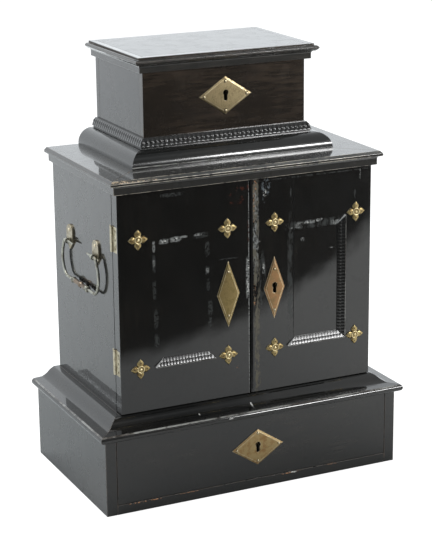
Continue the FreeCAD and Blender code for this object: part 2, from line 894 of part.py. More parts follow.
def left_door():
    """The left door, mortised in its meeting edge for the bolt of the right door's lock."""
    bolt = door_lock_bolt(door_bolt_throw).BoundBox
    gap = mortise_clearance
    mortise = board(bolt.XMin - gap, left_door_edge_x, bolt.YMin - gap, bolt.YMax + gap,
                    bolt.ZMin - gap, bolt.ZMax + gap)
    return door_blank(left_door_edge_x, -1).cut(mortise)


def right_door():
    plate = door_blank(right_door_edge_x, 1)
    plate = plate.cut(door_lock_block())
    return plate.cut(keyhole(right_keyhole_x, door_lock_z, door_front_y, door_back_y))


def door_lock_block():
    return board(right_door_edge_x, right_door_edge_x + door_lock_length,
                 door_back_y - door_lock_thickness, door_back_y,
                 door_lock_z - door_lock_height / 2, door_lock_z + door_lock_height / 2)


def door_lock_bolt(throw):
    """The bolt of the right door's lock, pushed out by some of its throw. It lies in the upper
    part of the lock, over the keyhole."""
    tip = right_door_edge_x + door_bolt_set_back - throw
    middle_y = door_back_y - door_lock_thickness / 2
    head = door_lock_z + door_lock_height / 2 - door_bolt_drop
    return board(tip, tip + door_bolt_length, middle_y - door_bolt_thickness / 2,
                 middle_y + door_bolt_thickness / 2, head - door_bolt_height, head)


def door_lock_case():
    block = door_lock_block()
    bounds = block.BoundBox
    bolt = door_lock_bolt(0).BoundBox
    gap = lock_bolt_clearance
    block = block.cut(board(bounds.XMin, bolt.XMax + gap, bolt.YMin - gap, bolt.YMax + gap,
                            bolt.ZMin - gap, bolt.ZMax + gap))
    middle_y = (bounds.YMin + bounds.YMax) / 2
    block = block.cut(keyhole(right_keyhole_x, door_lock_z, bounds.YMin, middle_y))
    return block.fuse(drill_pin(right_keyhole_x, door_lock_z, bounds.YMin, bounds.YMax)).removeSplitter()


def left_door_lozenge():
    return lozenge(left_door_edge_x - left_lozenge_from_meeting_edge, door_lock_z, left_lozenge_width,
                   left_lozenge_height, door_front_y)


def right_door_escutcheon():
    return keyhole_lozenge(right_keyhole_x, door_lock_z, right_lozenge_width,
                           right_lozenge_height, door_front_y)


def petal(angle):
    """One pointed petal of a rosette about its centre, in the plane of the door."""
    tip = rosette_span / 2
    belly_share = 0.6
    belly = tip * belly_share
    left_root = point(-rosette_neck_width / 2, 0, 0)
    right_root = point(rosette_neck_width / 2, 0, 0)
    left_belly = point(-rosette_petal_width / 2, 0, belly)
    right_belly = point(rosette_petal_width / 2, 0, belly)
    end = point(0, 0, tip)
    outline = Part.Wire([
        line(right_root, left_root),
        line(left_root, left_belly),
        line(left_belly, end),
        line(end, right_belly),
        line(right_belly, right_root),
    ])
    leaf = Part.Face(outline).extrude(point(0, -rosette_thickness, 0))
    leaf.rotate(point(0, 0, 0), point(0, 1, 0), angle)
    return leaf


def rosette_dome():
    """The boss of a rosette, a low round dome."""
    foot_y = -rosette_thickness
    ball_radius = (rosette_boss_radius ** 2 + rosette_boss_height ** 2) / (2 * rosette_boss_height)
    half_turn = asin(rosette_boss_radius / ball_radius) / 2
    ball_y = foot_y - rosette_boss_height + ball_radius
    rim = point(rosette_boss_radius, foot_y, 0)
    shoulder = point(ball_radius * sin(half_turn), ball_y - ball_radius * cos(half_turn), 0)
    crown = point(0, foot_y - rosette_boss_height, 0)
    section = Part.Face(Part.Wire([
        line(point(0, 0, 0), point(rosette_boss_radius, 0, 0)),
        line(point(rosette_boss_radius, 0, 0), rim),
        arc(rim, shoulder, crown),
        line(crown, point(0, 0, 0)),
    ]))
    return section.revolve(point(0, 0, 0), point(0, 1, 0), 360)


def rosette(x, z):
    """Four pointed petals round a domed boss, on the front of a door."""
    shape = rosette_dome()
    for quarter in range(4):
        shape = shape.fuse(petal(90 * quarter))
    shape = shape.removeSplitter()
    shape.translate(point(x, door_front_y, z))
    return shape.Solids[0]


def rosettes(places):
    return [rosette(x, z) for x in places for z in (lower_rosette_z, upper_rosette_z)]


def left_door_rosettes():
    places = [case_left_x + left_rosette_from_hinge_edge, left_door_edge_x - left_rosette_from_meeting_edge]
    return rosettes(places)


def right_door_rosettes():
    places = [right_door_edge_x + right_rosette_from_meeting_edge,
              case_right_x - right_rosette_from_hinge_edge]
    return rosettes(places)


def frame_strip(corner, along, across, length):
    """One mitred length of the frame on a door. corner is its outer corner on the door, along
    runs down its outer edge and across points to the inside of the frame."""
    outward = point(0, -1, 0)
    section = [
        corner,
        corner.add(outward * door_strip_height),
        corner.add(across * door_strip_width).add(outward * door_strip_inner_height),
        corner.add(across * door_strip_width),
    ]
    prism = polygon_prism(section, along * length)
    plan = [
        corner,
        corner.add(along * length),
        corner.add(along * (length - door_strip_width)).add(across * door_strip_width),
        corner.add(along * door_strip_width).add(across * door_strip_width),
    ]
    return prism.common(polygon_prism(plan, outward * door_strip_height)).Solids[0]


def left_door_ripple_strip():
    """The foot of the left door's frame, the one length that is left."""
    left = case_left_x + left_frame_from_hinge_edge
    right = left_door_edge_x - left_frame_from_meeting_edge
    foot = door_foot_z + door_frame_foot_rise
    return frame_strip(point(left, door_front_y, foot), point(1, 0, 0), point(0, 0, 1), right - left)


def right_door_ripple_strips():
    """The foot and the hinge side of the right door's frame."""
    left = right_door_edge_x + right_frame_from_meeting_edge
    right = case_right_x - right_frame_from_hinge_edge
    foot = door_foot_z + door_frame_foot_rise
    head = door_head_z - door_frame_head_drop
    corner = point(right, door_front_y, foot)
    return [
        frame_strip(corner, point(-1, 0, 0), point(0, 0, 1), right - left),
        frame_strip(corner, point(0, 0, 1), point(-1, 0, 0), head - foot),
    ]


# Bolt of the left door


def door_slide_bolt(lift):
    """An upright square bolt behind the left door, lifted by some of its throw."""
    x = left_door_edge_x - door_slide_bolt_from_meeting_edge
    half = door_slide_bolt_width / 2
    near_y = door_back_y + door_slide_plate_thickness
    head = case_top_z - door_slide_bolt_head_gap + lift
    return board(x - half, x + half, near_y, near_y + door_slide_bolt_width,
                 head - door_slide_bolt_length, head)


def door_slide_plate():
    """The plate that carries the bolt in two loops."""
    x = left_door_edge_x - door_slide_bolt_from_meeting_edge
    head = case_top_z - door_slide_plate_drop
    foot = head - door_slide_plate_height
    plate = board(x - door_slide_plate_width / 2, x + door_slide_plate_width / 2,
                  door_back_y, door_back_y + door_slide_plate_thickness, foot, head)
    half = door_slide_bolt_width / 2 + lock_bolt_clearance
    near_y = door_back_y + door_slide_plate_thickness
    far_y = near_y + door_slide_bolt_width + lock_bolt_clearance
    wall = door_slide_loop_wall
    for loop_foot in (foot, head - door_slide_loop_height):
        loop = board(x - half - wall, x + half + wall, near_y, far_y + wall, loop_foot,
                     loop_foot + door_slide_loop_height)
        hole = board(x - half, x + half, near_y, far_y, loop_foot, loop_foot + door_slide_loop_height)
        plate = plate.fuse(loop.cut(hole))
    return plate.removeSplitter()


# Lock of the box


def box_lock_limits():
    """Left, right, near, far, foot and head planes of the box lock."""
    near_y = box_front_y + box_wall_thickness
    return (case_centre_x - box_lock_width / 2, case_centre_x + box_lock_width / 2,
            near_y, near_y + box_lock_thickness, box_top_z - box_lock_height, box_top_z)


def staple_middle_y():
    return box_front_y + box_wall_thickness + box_lock_thickness / 2


def staple_eye_z():
    """Middle height of the eye that the bolt goes through."""
    return box_top_z - lid_staple_drop + lid_staple_eye_height


def lid_staple_plate():
    middle_y = staple_middle_y()
    return board(case_centre_x - lid_staple_plate_width / 2, case_centre_x + lid_staple_plate_width / 2,
                 middle_y - lid_staple_plate_depth / 2, middle_y + lid_staple_plate_depth / 2,
                 box_top_z, box_top_z + lid_staple_plate_thickness)


def lid_lock_staple():
    """A plate let into the lid, with an eye that hangs into the lock."""
    middle_y = staple_middle_y()
    half_width = lid_staple_width / 2
    tongue = board(case_centre_x - half_width, case_centre_x + half_width, middle_y - lid_staple_depth / 2,
                   middle_y + lid_staple_depth / 2, box_top_z - lid_staple_drop, box_top_z)
    eye = board(case_centre_x - half_width, case_centre_x + half_width,
                middle_y - lid_staple_eye_depth / 2, middle_y + lid_staple_eye_depth / 2,
                staple_eye_z() - lid_staple_eye_height / 2, staple_eye_z() + lid_staple_eye_height / 2)
    return lid_staple_plate().fuse(tongue.cut(eye)).removeSplitter()


def box_lock_bolt():
    """The bolt waits beside the staple and slides to the left through its eye."""
    near_x = case_centre_x + lid_staple_width / 2 + lid_staple_clearance + box_bolt_start_gap
    middle_y = staple_middle_y()
    return board(near_x, near_x + box_bolt_length, middle_y - box_bolt_thickness / 2,
                 middle_y + box_bolt_thickness / 2, staple_eye_z() - box_bolt_height / 2,
                 staple_eye_z() + box_bolt_height / 2)


def box_lock_case():
    left, right, near_y, far_y, foot, head = box_lock_limits()
    block = board(left, right, near_y, far_y, foot, head)
    gap = lid_staple_clearance
    half_width = lid_staple_width / 2 + gap
    half_depth = lid_staple_depth / 2 + gap
    middle_y = staple_middle_y()
    block = block.cut(board(case_centre_x - half_width, case_centre_x + half_width,
                            middle_y - half_depth, middle_y + half_depth,
                            head - lid_staple_drop - gap, head))
    bolt = box_lock_bolt().BoundBox
    gap = lock_bolt_clearance
    block = block.cut(board(bolt.XMin - box_bolt_throw - gap, bolt.XMax + gap,
                            bolt.YMin - gap, bolt.YMax + gap, bolt.ZMin - gap, bolt.ZMax + gap))
    block = block.cut(keyhole(case_centre_x, box_keyhole_z, near_y, middle_y))
    return block.fuse(drill_pin(case_centre_x, box_keyhole_z, near_y, far_y)).removeSplitter()


def box_escutcheon():
    return keyhole_lozenge(case_centre_x, box_keyhole_z, wide_lozenge_width,
                           wide_lozenge_height, box_front_y)


# Side handles


def handle_middle_y():
    return back_y - handle_from_back


def handle_eye_places():
    return [handle_middle_y() + sign * handle_eye_spacing / 2 for sign in (-1, 1)]


def handle_pivot_z():
    return base_top_z + handle_pivot_rise


def handle_axis_x(side_sign):
    return case_face_x(side_sign) + side_sign * handle_stand_off


def bail_hole_radius():
    return bail_rod_radius + bail_eye_clearance


def handle_shank(side_sign, eye_y):
    """The shank of an eye, from its ring through the plate into the side of the case."""
    pivot_z = handle_pivot_z()
    start = point(handle_axis_x(side_sign) - side_sign * bail_hole_radius(), eye_y, pivot_z)
    end = point(case_face_x(side_sign) - side_sign * handle_shank_in_wood, eye_y, pivot_z)
    return rod(handle_shank_radius, start, end)


def handle_plate(side_sign, eye_y):
    """A plate with an arched head and a pointed foot behind one eye."""
    half = handle_plate_width / 2
    pivot_z = handle_pivot_z()
    face_x = case_face_x(side_sign)
    head_z = pivot_z + handle_plate_above_pivot
    shoulder_z = head_z - half
    foot_z = pivot_z - handle_plate_below_pivot
    hip_z = foot_z + half
    outline = Part.Wire([
        line(point(face_x, eye_y - half, hip_z), point(face_x, eye_y, foot_z)),
        line(point(face_x, eye_y, foot_z), point(face_x, eye_y + half, hip_z)),
        line(point(face_x, eye_y + half, hip_z), point(face_x, eye_y + half, shoulder_z)),
        arc(point(face_x, eye_y + half, shoulder_z), point(face_x, eye_y, head_z),
            point(face_x, eye_y - half, shoulder_z)),
        line(point(face_x, eye_y - half, shoulder_z), point(face_x, eye_y - half, hip_z)),
    ])
    plate = Part.Face(outline).extrude(point(side_sign * handle_plate_thickness, 0, 0))
    return plate.cut(handle_shank(side_sign, eye_y))


def handle_eye(side_sign, eye_y):
    """A ring that the bail turns in, on its shank."""
    centre = point(handle_axis_x(side_sign), eye_y, handle_pivot_z())
    half = point(0, handle_eye_length / 2, 0)
    ring = rod(handle_eye_radius, centre.sub(half), centre.add(half))
    hole = rod(bail_hole_radius(), centre.sub(half), centre.add(half))
    return ring.fuse(handle_shank(side_sign, eye_y)).cut(hole).removeSplitter()


def rounded_path(corners, radii):
    """A path along corners, each inner corner rounded by an arc of its radius."""
    edges = []
    last = corners[0]
    for before, corner, after, radius in zip(corners, corners[1:], corners[2:], radii):
        back = before.sub(corner).normalize()
        ahead = after.sub(corner).normalize()
        half_angle = back.getAngle(ahead) / 2
        reach = radius / tan(half_angle)
        start = corner.add(back * reach)
        end = corner.add(ahead * reach)
        bisector = back.add(ahead).normalize()
        middle = corner.add(bisector * (radius / sin(half_angle) - radius))
        edges.append(line(last, start))
        edges.append(arc(start, middle, end))
        last = end
    edges.append(line(last, corners[-1]))
    return Part.Wire(edges)


def bail(side_sign):
    """The swinging handle: a rod bent down from the eyes to a turned grip, with tapered tails."""
    x = handle_axis_x(side_sign)
    middle_y = handle_middle_y()
    pivot_z = handle_pivot_z()
    half_eye = handle_eye_spacing / 2
    tail_end = half_eye - bail_tail_length
    half = [
        (half_eye - handle_eye_length, 0),
        (half_eye + bail_shoulder_out, 0),
        (bail_half_width, -bail_drop * bail_belly_share),
        (bail_bottom_half_length, -bail_drop),
    ]
    plan = half + [(-across, rise) for across, rise in reversed(half)]
    corners = [point(x, middle_y + across, pivot_z + rise) for across, rise in plan]
    bends = [bail_shoulder_bend_radius, bail_belly_bend_radius, bail_bottom_bend_radius]
    path = rounded_path(corners, bends + bends[::-1])
    section = Part.Wire(Part.makeCircle(bail_rod_radius, corners[0], point(0, 1, 0)))
    shape = path.makePipeShell([section], True, False)
    for sign in (-1, 1):
        root = point(x, middle_y + sign * (half_eye - handle_eye_length), pivot_z)
        length = half_eye - handle_eye_length - tail_end
        tail = Part.makeCone(bail_rod_radius, bail_tail_end_radius, length, root, point(0, -sign, 0))
        shape = shape.fuse(tail)
    shape = shape.fuse(bail_grip(x, middle_y, pivot_z - bail_drop))
    return shape.removeSplitter().Solids[0]


def bail_grip(x, middle_y, z):
    """A turned baluster on the lower rod: a ring and a neck at each end, swelling to the middle."""
    half = bail_grip_length / 2
    stations = [
        (half, bail_grip_neck_radius),
        (half - bail_ring_width / 2, bail_ring_radius),
        (half - bail_ring_width, bail_grip_neck_radius),
        (half - 2 * bail_ring_width, bail_grip_neck_radius),
        (half - 3 * bail_ring_width, bail_grip_radius),
        (bail_ring_width * 1.5, bail_grip_neck_radius),
        (bail_ring_width / 2, bail_ring_radius),
    ]
    upper = [point(x, middle_y + along, z + radius) for along, radius in stations]
    lower = [point(x, middle_y - along, z + radius) for along, radius in reversed(stations)]
    ends = [point(x, middle_y - half, z), point(x, middle_y + half, z)]
    section = Part.Face(Part.makePolygon(upper + lower + ends + upper[:1]))
    return section.revolve(point(x, middle_y, z), point(0, 1, 0), 360)


# Assembly


def group(solids):
    return Part.makeCompound(solids)


def both_sides(maker, places):
    """Like pieces on the left and right of the case."""
    return group([maker(side_sign, place) for side_sign in (-1, 1) for place in places])


def hinge_pins():
    door_pins = [door_hinge_pin(side_sign, level) for side_sign in (-1, 1) for level in door_hinge_levels()]
    return group(door_pins + [lid_hinge_pin(x) for x in lid_hinge_places()])


def base_pieces():
    front_strip, left_strip, right_strip = base_mouldings()
    return {
        "base_bottom": base_bottom(),
        "base_left_side": base_side(base_left_x, 1),
        "base_right_side": base_side(base_right_x, -1),
        "base_back": base_back(),
        "base_top": base_top(),
        "base_moulding_front": front_strip.cut(drawer_bolt_mortise()),
        "base_moulding_left": left_strip,
        "base_moulding_right": right_strip,
    }


def drawer_pieces():
    left, right, foot, head = drawer_limits()
    return {
        "drawer_front": drawer_front(),
        "drawer_left_side": drawer_side(left, 1),
        "drawer_right_side": drawer_side(right, -1),
        "drawer_back": drawer_back(),
        "drawer_bottom": drawer_bottom(),
        "drawer_escutcheon": drawer_escutcheon(),
        "drawer_lock_case": drawer_lock_case(),
        "drawer_lock_bolt": drawer_bolt_box(0),
    }


def case_pieces():
    front_strip, left_strip, right_strip = cornice()
    return {
        "case_left_side": case_side(case_left_x, -1),
        "case_right_side": case_side(case_right_x, 1),
        "case_bottom": case_bottom(),
        "case_back": case_back(),
        "case_top": case_top(),
        "shelves": group(shelves()),
        "cornice_front": front_strip,
        "cornice_left": left_strip,
        "cornice_right": right_strip,
        "handle_plates": both_sides(handle_plate, handle_eye_places()),
        "handle_eyes": both_sides(handle_eye, handle_eye_places()),
        "left_bail": bail(-1),
        "right_bail": bail(1),
    }


def box_pieces():
    return {
        "box_front": box_front(),
        "box_left_side": box_side(box_left_x, 1),
        "box_right_side": box_side(box_right_x, -1),
        "box_back": box_back(),
        "box_bottom": box_bottom(),
        "box_ovolo": group(box_ovolo()),
        "box_ripple_strips": group(box_ripple_strips()),
        "box_escutcheon": box_escutcheon(),
        "box_lock_case": box_lock_case(),
        "box_lock_bolt": box_lock_bolt(),
        "lid_board": lid_board(),
        "lid_mouldings": group(lid_mouldings()),
        "lid_lock_staple": lid_lock_staple(),
    }


def door_pieces():
    return {
        "left_door": left_door(),
        "left_door_rosettes": group(left_door_rosettes()),
        "left_door_lozenge": left_door_lozenge(),
        "left_door_ripple_strip": left_door_ripple_strip(),
        "left_door_bolt": door_slide_bolt(0),
        "left_door_bolt_plate": door_slide_plate(),
        "right_door": right_door(),
        "right_door_rosettes": group(right_door_rosettes()),
        "right_door_escutcheon": right_door_escutcheon(),
        "right_door_ripple_strips": group(right_door_ripple_strips()),
        "right_door_lock_case": door_lock_case(),
        "right_door_lock_bolt": door_lock_bolt(0),
    }


def hinge_pieces():
    return {
        "door_hinge_case_leaves": both_sides(door_hinge_case_leaf, door_hinge_levels()),
        "left_door_hinge_leaves": group([door_hinge_door_leaf(-1, level) for level in door_hinge_levels()]),
        "right_door_hinge_leaves": group([door_hinge_door_leaf(1, level) for level in door_hinge_levels()]),
        "lid_hinge_box_leaves": group([lid_hinge_leaf(x, -1) for x in lid_hinge_places()]),
        "lid_hinge_lid_leaves": group([lid_hinge_leaf(x, 1) for x in lid_hinge_places()]),
        "hinge_pins": hinge_pins(),
    }


def write_pieces():
    os.makedirs("parts", exist_ok=True)
    for maker in (base_pieces, drawer_pieces, case_pieces, box_pieces, door_pieces, hinge_pieces):
        for name, shape in maker().items():
            shape.exportStep(os.path.join("parts", name + ".step"))


write_pieces()
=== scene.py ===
import json
import math

import bpy
from mathutils import Matrix, Vector


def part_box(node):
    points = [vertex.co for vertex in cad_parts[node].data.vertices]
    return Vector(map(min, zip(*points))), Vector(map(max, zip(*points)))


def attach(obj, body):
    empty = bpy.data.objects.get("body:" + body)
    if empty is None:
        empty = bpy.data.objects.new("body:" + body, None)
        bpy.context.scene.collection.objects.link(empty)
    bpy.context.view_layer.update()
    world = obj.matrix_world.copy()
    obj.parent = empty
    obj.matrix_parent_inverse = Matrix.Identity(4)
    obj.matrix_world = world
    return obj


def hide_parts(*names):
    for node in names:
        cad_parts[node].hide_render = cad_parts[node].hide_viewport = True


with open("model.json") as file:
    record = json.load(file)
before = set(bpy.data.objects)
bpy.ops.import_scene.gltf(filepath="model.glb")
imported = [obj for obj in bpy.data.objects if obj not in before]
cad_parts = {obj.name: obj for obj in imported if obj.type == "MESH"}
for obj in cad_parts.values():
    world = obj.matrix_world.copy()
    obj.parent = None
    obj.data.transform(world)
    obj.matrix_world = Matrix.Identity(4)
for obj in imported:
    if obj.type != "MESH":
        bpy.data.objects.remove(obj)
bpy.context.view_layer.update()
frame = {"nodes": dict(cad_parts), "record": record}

# Camera. It stands to the left of the front, a little above the lid, and looks slightly down
# with a long lens, so that the front, the left side and the tops of the mouldings show.
camera_place = Vector((-0.92616, -1.94959, 0.88018))
camera_yaw = math.radians(-25.47)
camera_pitch = math.radians(-16.06)
camera_roll = math.radians(-0.58)
sensor_long_side = 36.0
photo_long_side_pixels = 533
focal_length_pixels = 1773.35

camera_forward = Vector((-math.sin(camera_yaw) * math.cos(camera_pitch),
                         math.cos(camera_yaw) * math.cos(camera_pitch),
                         math.sin(camera_pitch)))
level_right = Vector((math.cos(camera_yaw), math.sin(camera_yaw), 0))
level_up = level_right.cross(camera_forward)
camera_right = level_right * math.cos(camera_roll) + level_up * math.sin(camera_roll)
camera_up = level_up * math.cos(camera_roll) - level_right * math.sin(camera_roll)
camera_turn = Matrix((camera_right, camera_up, -camera_forward)).transposed().to_4x4()
camera_data = bpy.data.cameras.new("camera")
camera_data.sensor_width = sensor_long_side
camera_data.lens = focal_length_pixels * sensor_long_side / photo_long_side_pixels
camera = bpy.data.objects.new("camera", camera_data)
bpy.context.scene.collection.objects.link(camera)
camera.matrix_world = Matrix.Translation(camera_place) @ camera_turn
bpy.context.scene.camera = camera


# Floor. A white paper sheet under and behind the cabinet, which the polish reflects, ends a
# step in front of it, where the dark studio floor begins, and far behind it runs out in the
# white of the room. The paper near the cabinet is painted darker, as painted shade, and in
# front it is painted lighter toward the right, as painted light from the window. Seen
# directly, all of it is white.
floor_half_size = 12.0
paper_edge_direction = (0.52, 0.854, 0.0)
paper_edge_distance = -0.445
paper_edge_fade = 0.07
paper_edge_wander = 0.035
paper_edge_wanders_per_metre = 5.0
paper_edge_turn_x = 0.33
paper_edge_curve = 0.5
# Painted light and shade: the front paper is painted darker on the left and lighter on the right, and the
# paper behind is painted darker near the cabinet.
front_left_paper_painted_shade = (0.66, 0.665, 0.66, 1.0)
front_right_paper_painted_light = (0.98, 0.98, 0.96, 1.0)
near_paper_painted_shade = (0.50, 0.525, 0.53, 1.0)
paper_far = (0.96, 0.985, 0.99, 1.0)
paper_near_distance = 0.2
paper_far_distance = 1.8
front_paper_end_y = -0.25
back_paper_start_y = 0.15
front_left_end_x = 0.05
front_right_start_x = 0.5
studio_dark = (0.030, 0.027, 0.025, 1.0)
paper_end_start = 1.7
paper_end = 3.2
direct_white = 0.84
direct_shadow_share = (0.34, 0.34, 0.34, 1.0)


def primitive(add_shape, **sizes):
    """The shape that one of Blender's operators adds, as the only thing that is selected."""
    bpy.ops.object.select_all(action="DESELECT")
    add_shape(**sizes)
    return bpy.context.object


def add(tree, kind, **sockets):
    """A shader node with some of its sockets set, each named with _ for a space."""
    made = tree.nodes.new("ShaderNode" + kind)
    for socket, value in sockets.items():
        made.inputs[socket.replace("_", " ")].default_value = value
    return made


def wire(tree, source, node, socket):
    """Joins one node's output to a socket of another node."""
    tree.links.new(source, node.inputs[socket])


def noise(tree, place, scale, detail=3.0, roughness=0.5):
    """Soft random clouds, so many to the metre, as values around one half."""
    made = add(tree, "TexNoise", Scale=scale, Detail=detail, Roughness=roughness)
    wire(tree, place, made, "Vector")
    return made.outputs["Fac"]


def ease(tree, value, low, high, at_low=0.0, at_high=1.0):
    """A smooth step from one value to another, while the source goes from low to high."""
    made = add(tree, "MapRange", From_Min=low, From_Max=high, To_Min=at_low, To_Max=at_high)
    made.interpolation_type = "SMOOTHSTEP"
    wire(tree, value, made, "Value")
    return made.outputs["Result"]


def sums(tree, operation, first, second):
    """Arithmetic on a socket and either a number or another socket."""
    made = add(tree, "Math")
    made.operation = operation
    wire(tree, first, made, 0)
    if isinstance(second, (int, float)):
        made.inputs[1].default_value = second
    else:
        wire(tree, second, made, 1)
    return made.outputs[0]


def tinted(tree, factor, colour_a, colour_b):
    """A colour between two others, each a plain colour or a socket."""
    made = add(tree, "Mix")
    made.data_type = "RGBA"
    wire(tree, factor, made, "Factor")
    for socket, colour in zip([s for s in made.inputs if s.type == "RGBA"], (colour_a, colour_b)):
        if isinstance(colour, tuple):
            socket.default_value = colour
        else:
            tree.links.new(colour, socket)
    return [s for s in made.outputs if s.type == "RGBA"][0]


floor = primitive(bpy.ops.mesh.primitive_plane_add, size=2 * floor_half_size)
floor.name = "floor"
floor_material = bpy.data.materials.new("white_floor")
floor_material.use_nodes = True
tree = floor_material.node_tree
tree.nodes.clear()
place = add(tree, "TexCoord").outputs["Object"]
across = add(tree, "VectorMath")
across.operation = "DOT_PRODUCT"
wire(tree, place, across, 0)
across.inputs[1].default_value = paper_edge_direction
wander = sums(tree, "MULTIPLY", noise(tree, place, paper_edge_wanders_per_metre, 2.0), paper_edge_wander)
depth = add(tree, "SeparateXYZ")
wire(tree, place, depth, 0)
aside = sums(tree, "SUBTRACT", depth.outputs["X"], paper_edge_turn_x)
bend = sums(tree, "MULTIPLY", sums(tree, "MULTIPLY", aside, aside), paper_edge_curve)
edge = sums(tree, "ADD", sums(tree, "ADD", across.outputs["Value"], wander), bend)
edge_middle = paper_edge_distance + paper_edge_wander / 2
on_paper = ease(tree, edge, edge_middle - paper_edge_fade / 2, edge_middle + paper_edge_fade / 2)
away = add(tree, "VectorMath")
away.operation = "LENGTH"
wire(tree, place, away, 0)
toward_far = add(tree, "MapRange", From_Min=paper_near_distance, From_Max=paper_far_distance)
wire(tree, away.outputs["Value"], toward_far, "Value")
behind_front = ease(tree, depth.outputs["Y"], front_paper_end_y, back_paper_start_y)
# Painted shade: the paper behind is darker near the cabinet.
paper_behind = tinted(tree, toward_far.outputs["Result"], near_paper_painted_shade, paper_far)
# Painted light: the front paper grows lighter toward the right.
to_the_right = ease(tree, depth.outputs["X"], front_left_end_x, front_right_start_x)
paper_front = tinted(tree, to_the_right, front_left_paper_painted_shade, front_right_paper_painted_light)
paper_colour = tinted(tree, behind_front, paper_front, paper_behind)
paper = add(tree, "BsdfDiffuse")
wire(tree, tinted(tree, on_paper, studio_dark, paper_colour), paper, "Color")
ended = add(tree, "MixShader")
far_off = ease(tree, away.outputs["Value"], paper_end_start, paper_end)
wire(tree, sums(tree, "MULTIPLY", far_off, behind_front), ended, "Fac")
wire(tree, paper.outputs[0], ended, 1)
wire(tree, add(tree, "BsdfTransparent").outputs[0], ended, 2)
backdrop = add(tree, "Emission", Color=(1.0, 1.0, 1.0, 1.0), Strength=direct_white)
shadow_catch = add(tree, "BsdfDiffuse", Color=direct_shadow_share)
direct = add(tree, "AddShader")
wire(tree, backdrop.outputs[0], direct, 0)
wire(tree, shadow_catch.outputs[0], direct, 1)
pick = add(tree, "MixShader")
wire(tree, add(tree, "LightPath").outputs["Is Camera Ray"], pick, "Fac")
wire(tree, ended.outputs[0], pick, 1)
wire(tree, direct.outputs[0], pick, 2)
wire(tree, pick.outputs[0], add(tree, "OutputMaterial"), "Surface")
floor.data.materials.append(floor_material)


# Room. Bright white screens behind and to the left, a dim studio in front, and white for the
# camera itself. One soft window stands at the front right, low enough to draw a thin line on
# the rounded mouldings, and one soft lamp hangs overhead. Each screen fades in over a stretch of
# directions, given as where along x, y or z it starts and where it is full.
room_back = (1.12, 1.17, 1.21, 1.0)
room_front = (0.15, 0.157, 0.163, 1.0)
room_above = (0.55, 0.57, 0.58, 1.0)
room_left = (0.69, 0.745, 0.80, 1.0)
room_right = (0.72, 0.74, 0.75, 1.0)
back_by_y = (-0.05, 0.55)
back_by_z = (0.85, 0.60)
left_by_x = (-0.15, -0.75)
right_by_x = (0.385, 0.46)
above_by_z = (0.55, 0.85)
above_by_y = (-0.22, -0.42)

world = bpy.data.worlds.new("studio")
bpy.context.scene.world = world
world.use_nodes = True
tree = world.node_tree
tree.nodes.clear()
toward = add(tree, "SeparateXYZ")
wire(tree, add(tree, "TexCoord").outputs["Generated"], toward, 0)
behind = sums(tree, "MULTIPLY", ease(tree, toward.outputs["Y"], *back_by_y),
              ease(tree, toward.outputs["Z"], *back_by_z))
leftward = ease(tree, toward.outputs["X"], *left_by_x)
rightward = ease(tree, toward.outputs["X"], *right_by_x)
above = sums(tree, "MULTIPLY", ease(tree, toward.outputs["Z"], *above_by_z),
             ease(tree, toward.outputs["Y"], *above_by_y))
ahead = tinted(tree, rightward, tinted(tree, above, room_front, room_above), room_right)
room_light = tinted(tree, behind, tinted(tree, leftward, ahead, room_left), room_back)
room = add(tree, "Background")
wire(tree, room_light, room, "Color")
seen = add(tree, "Background", Color=(1.0, 1.0, 1.0, 1.0))
pick = add(tree, "MixShader")
wire(tree, add(tree, "LightPath").outputs["Is Camera Ray"], pick, "Fac")
wire(tree, room.outputs[0], pick, 1)
wire(tree, seen.outputs[0], pick, 2)
wire(tree, pick.outputs[0], add(tree, "OutputWorld"), "Surface")


def soft_lamp(name, place, aim, width, height, power):
    """A rectangular studio lamp that points at a place."""
    data = bpy.data.lights.new(name, "AREA")
    data.shape = "RECTANGLE"
    data.size = width
    data.size_y = height
    data.energy = power
    lamp = bpy.data.objects.new(name, data)
    bpy.context.scene.collection.objects.link(lamp)
    lamp.location = place
    lamp.rotation_euler = (Vector(aim) - Vector(place)).to_track_quat("-Z", "Y").to_euler()


middle = (0.0, 0.0, 0.3)
soft_lamp("overhead_lamp", (-0.5, 0.6, 2.6), middle, 2.2, 1.6, 62)
soft_lamp("window_lamp", (1.75, -2.6, 1.35), middle, 1.0, 0.45, 70)


# Base. Boards of fruitwood, stained black and polished, with the drawer's sides between them.
# The corners are a little rubbed, and the polish has sunk into the grain along the boards.
mm = 0.001
same_place = 0.002 * mm
same_plane = math.radians(0.4)
rubbed_from_angle = math.radians(32)
smooth_below_angle = math.radians(40)
body_of = {node: body for body, nodes in frame["record"]["behaviour"]["bodies"].items()
           for node in nodes}


def take_up(piece):
    """Makes a piece the only one that is selected and worked on."""
    bpy.ops.object.select_all(action="DESELECT")
    piece.select_set(True)
    bpy.context.view_layer.objects.active = piece


def finish_with(piece, *finishes):
    """Gives a piece its finishes, in the order of its slots."""
    piece.data.materials.clear()
    for finish in finishes:
        piece.data.materials.append(finish)


def copied(piece, name):
    """Another piece like the first, with its own mesh."""
    copy = bpy.data.objects.new(name, piece.data.copy())
    bpy.context.scene.collection.objects.link(copy)
    return copy


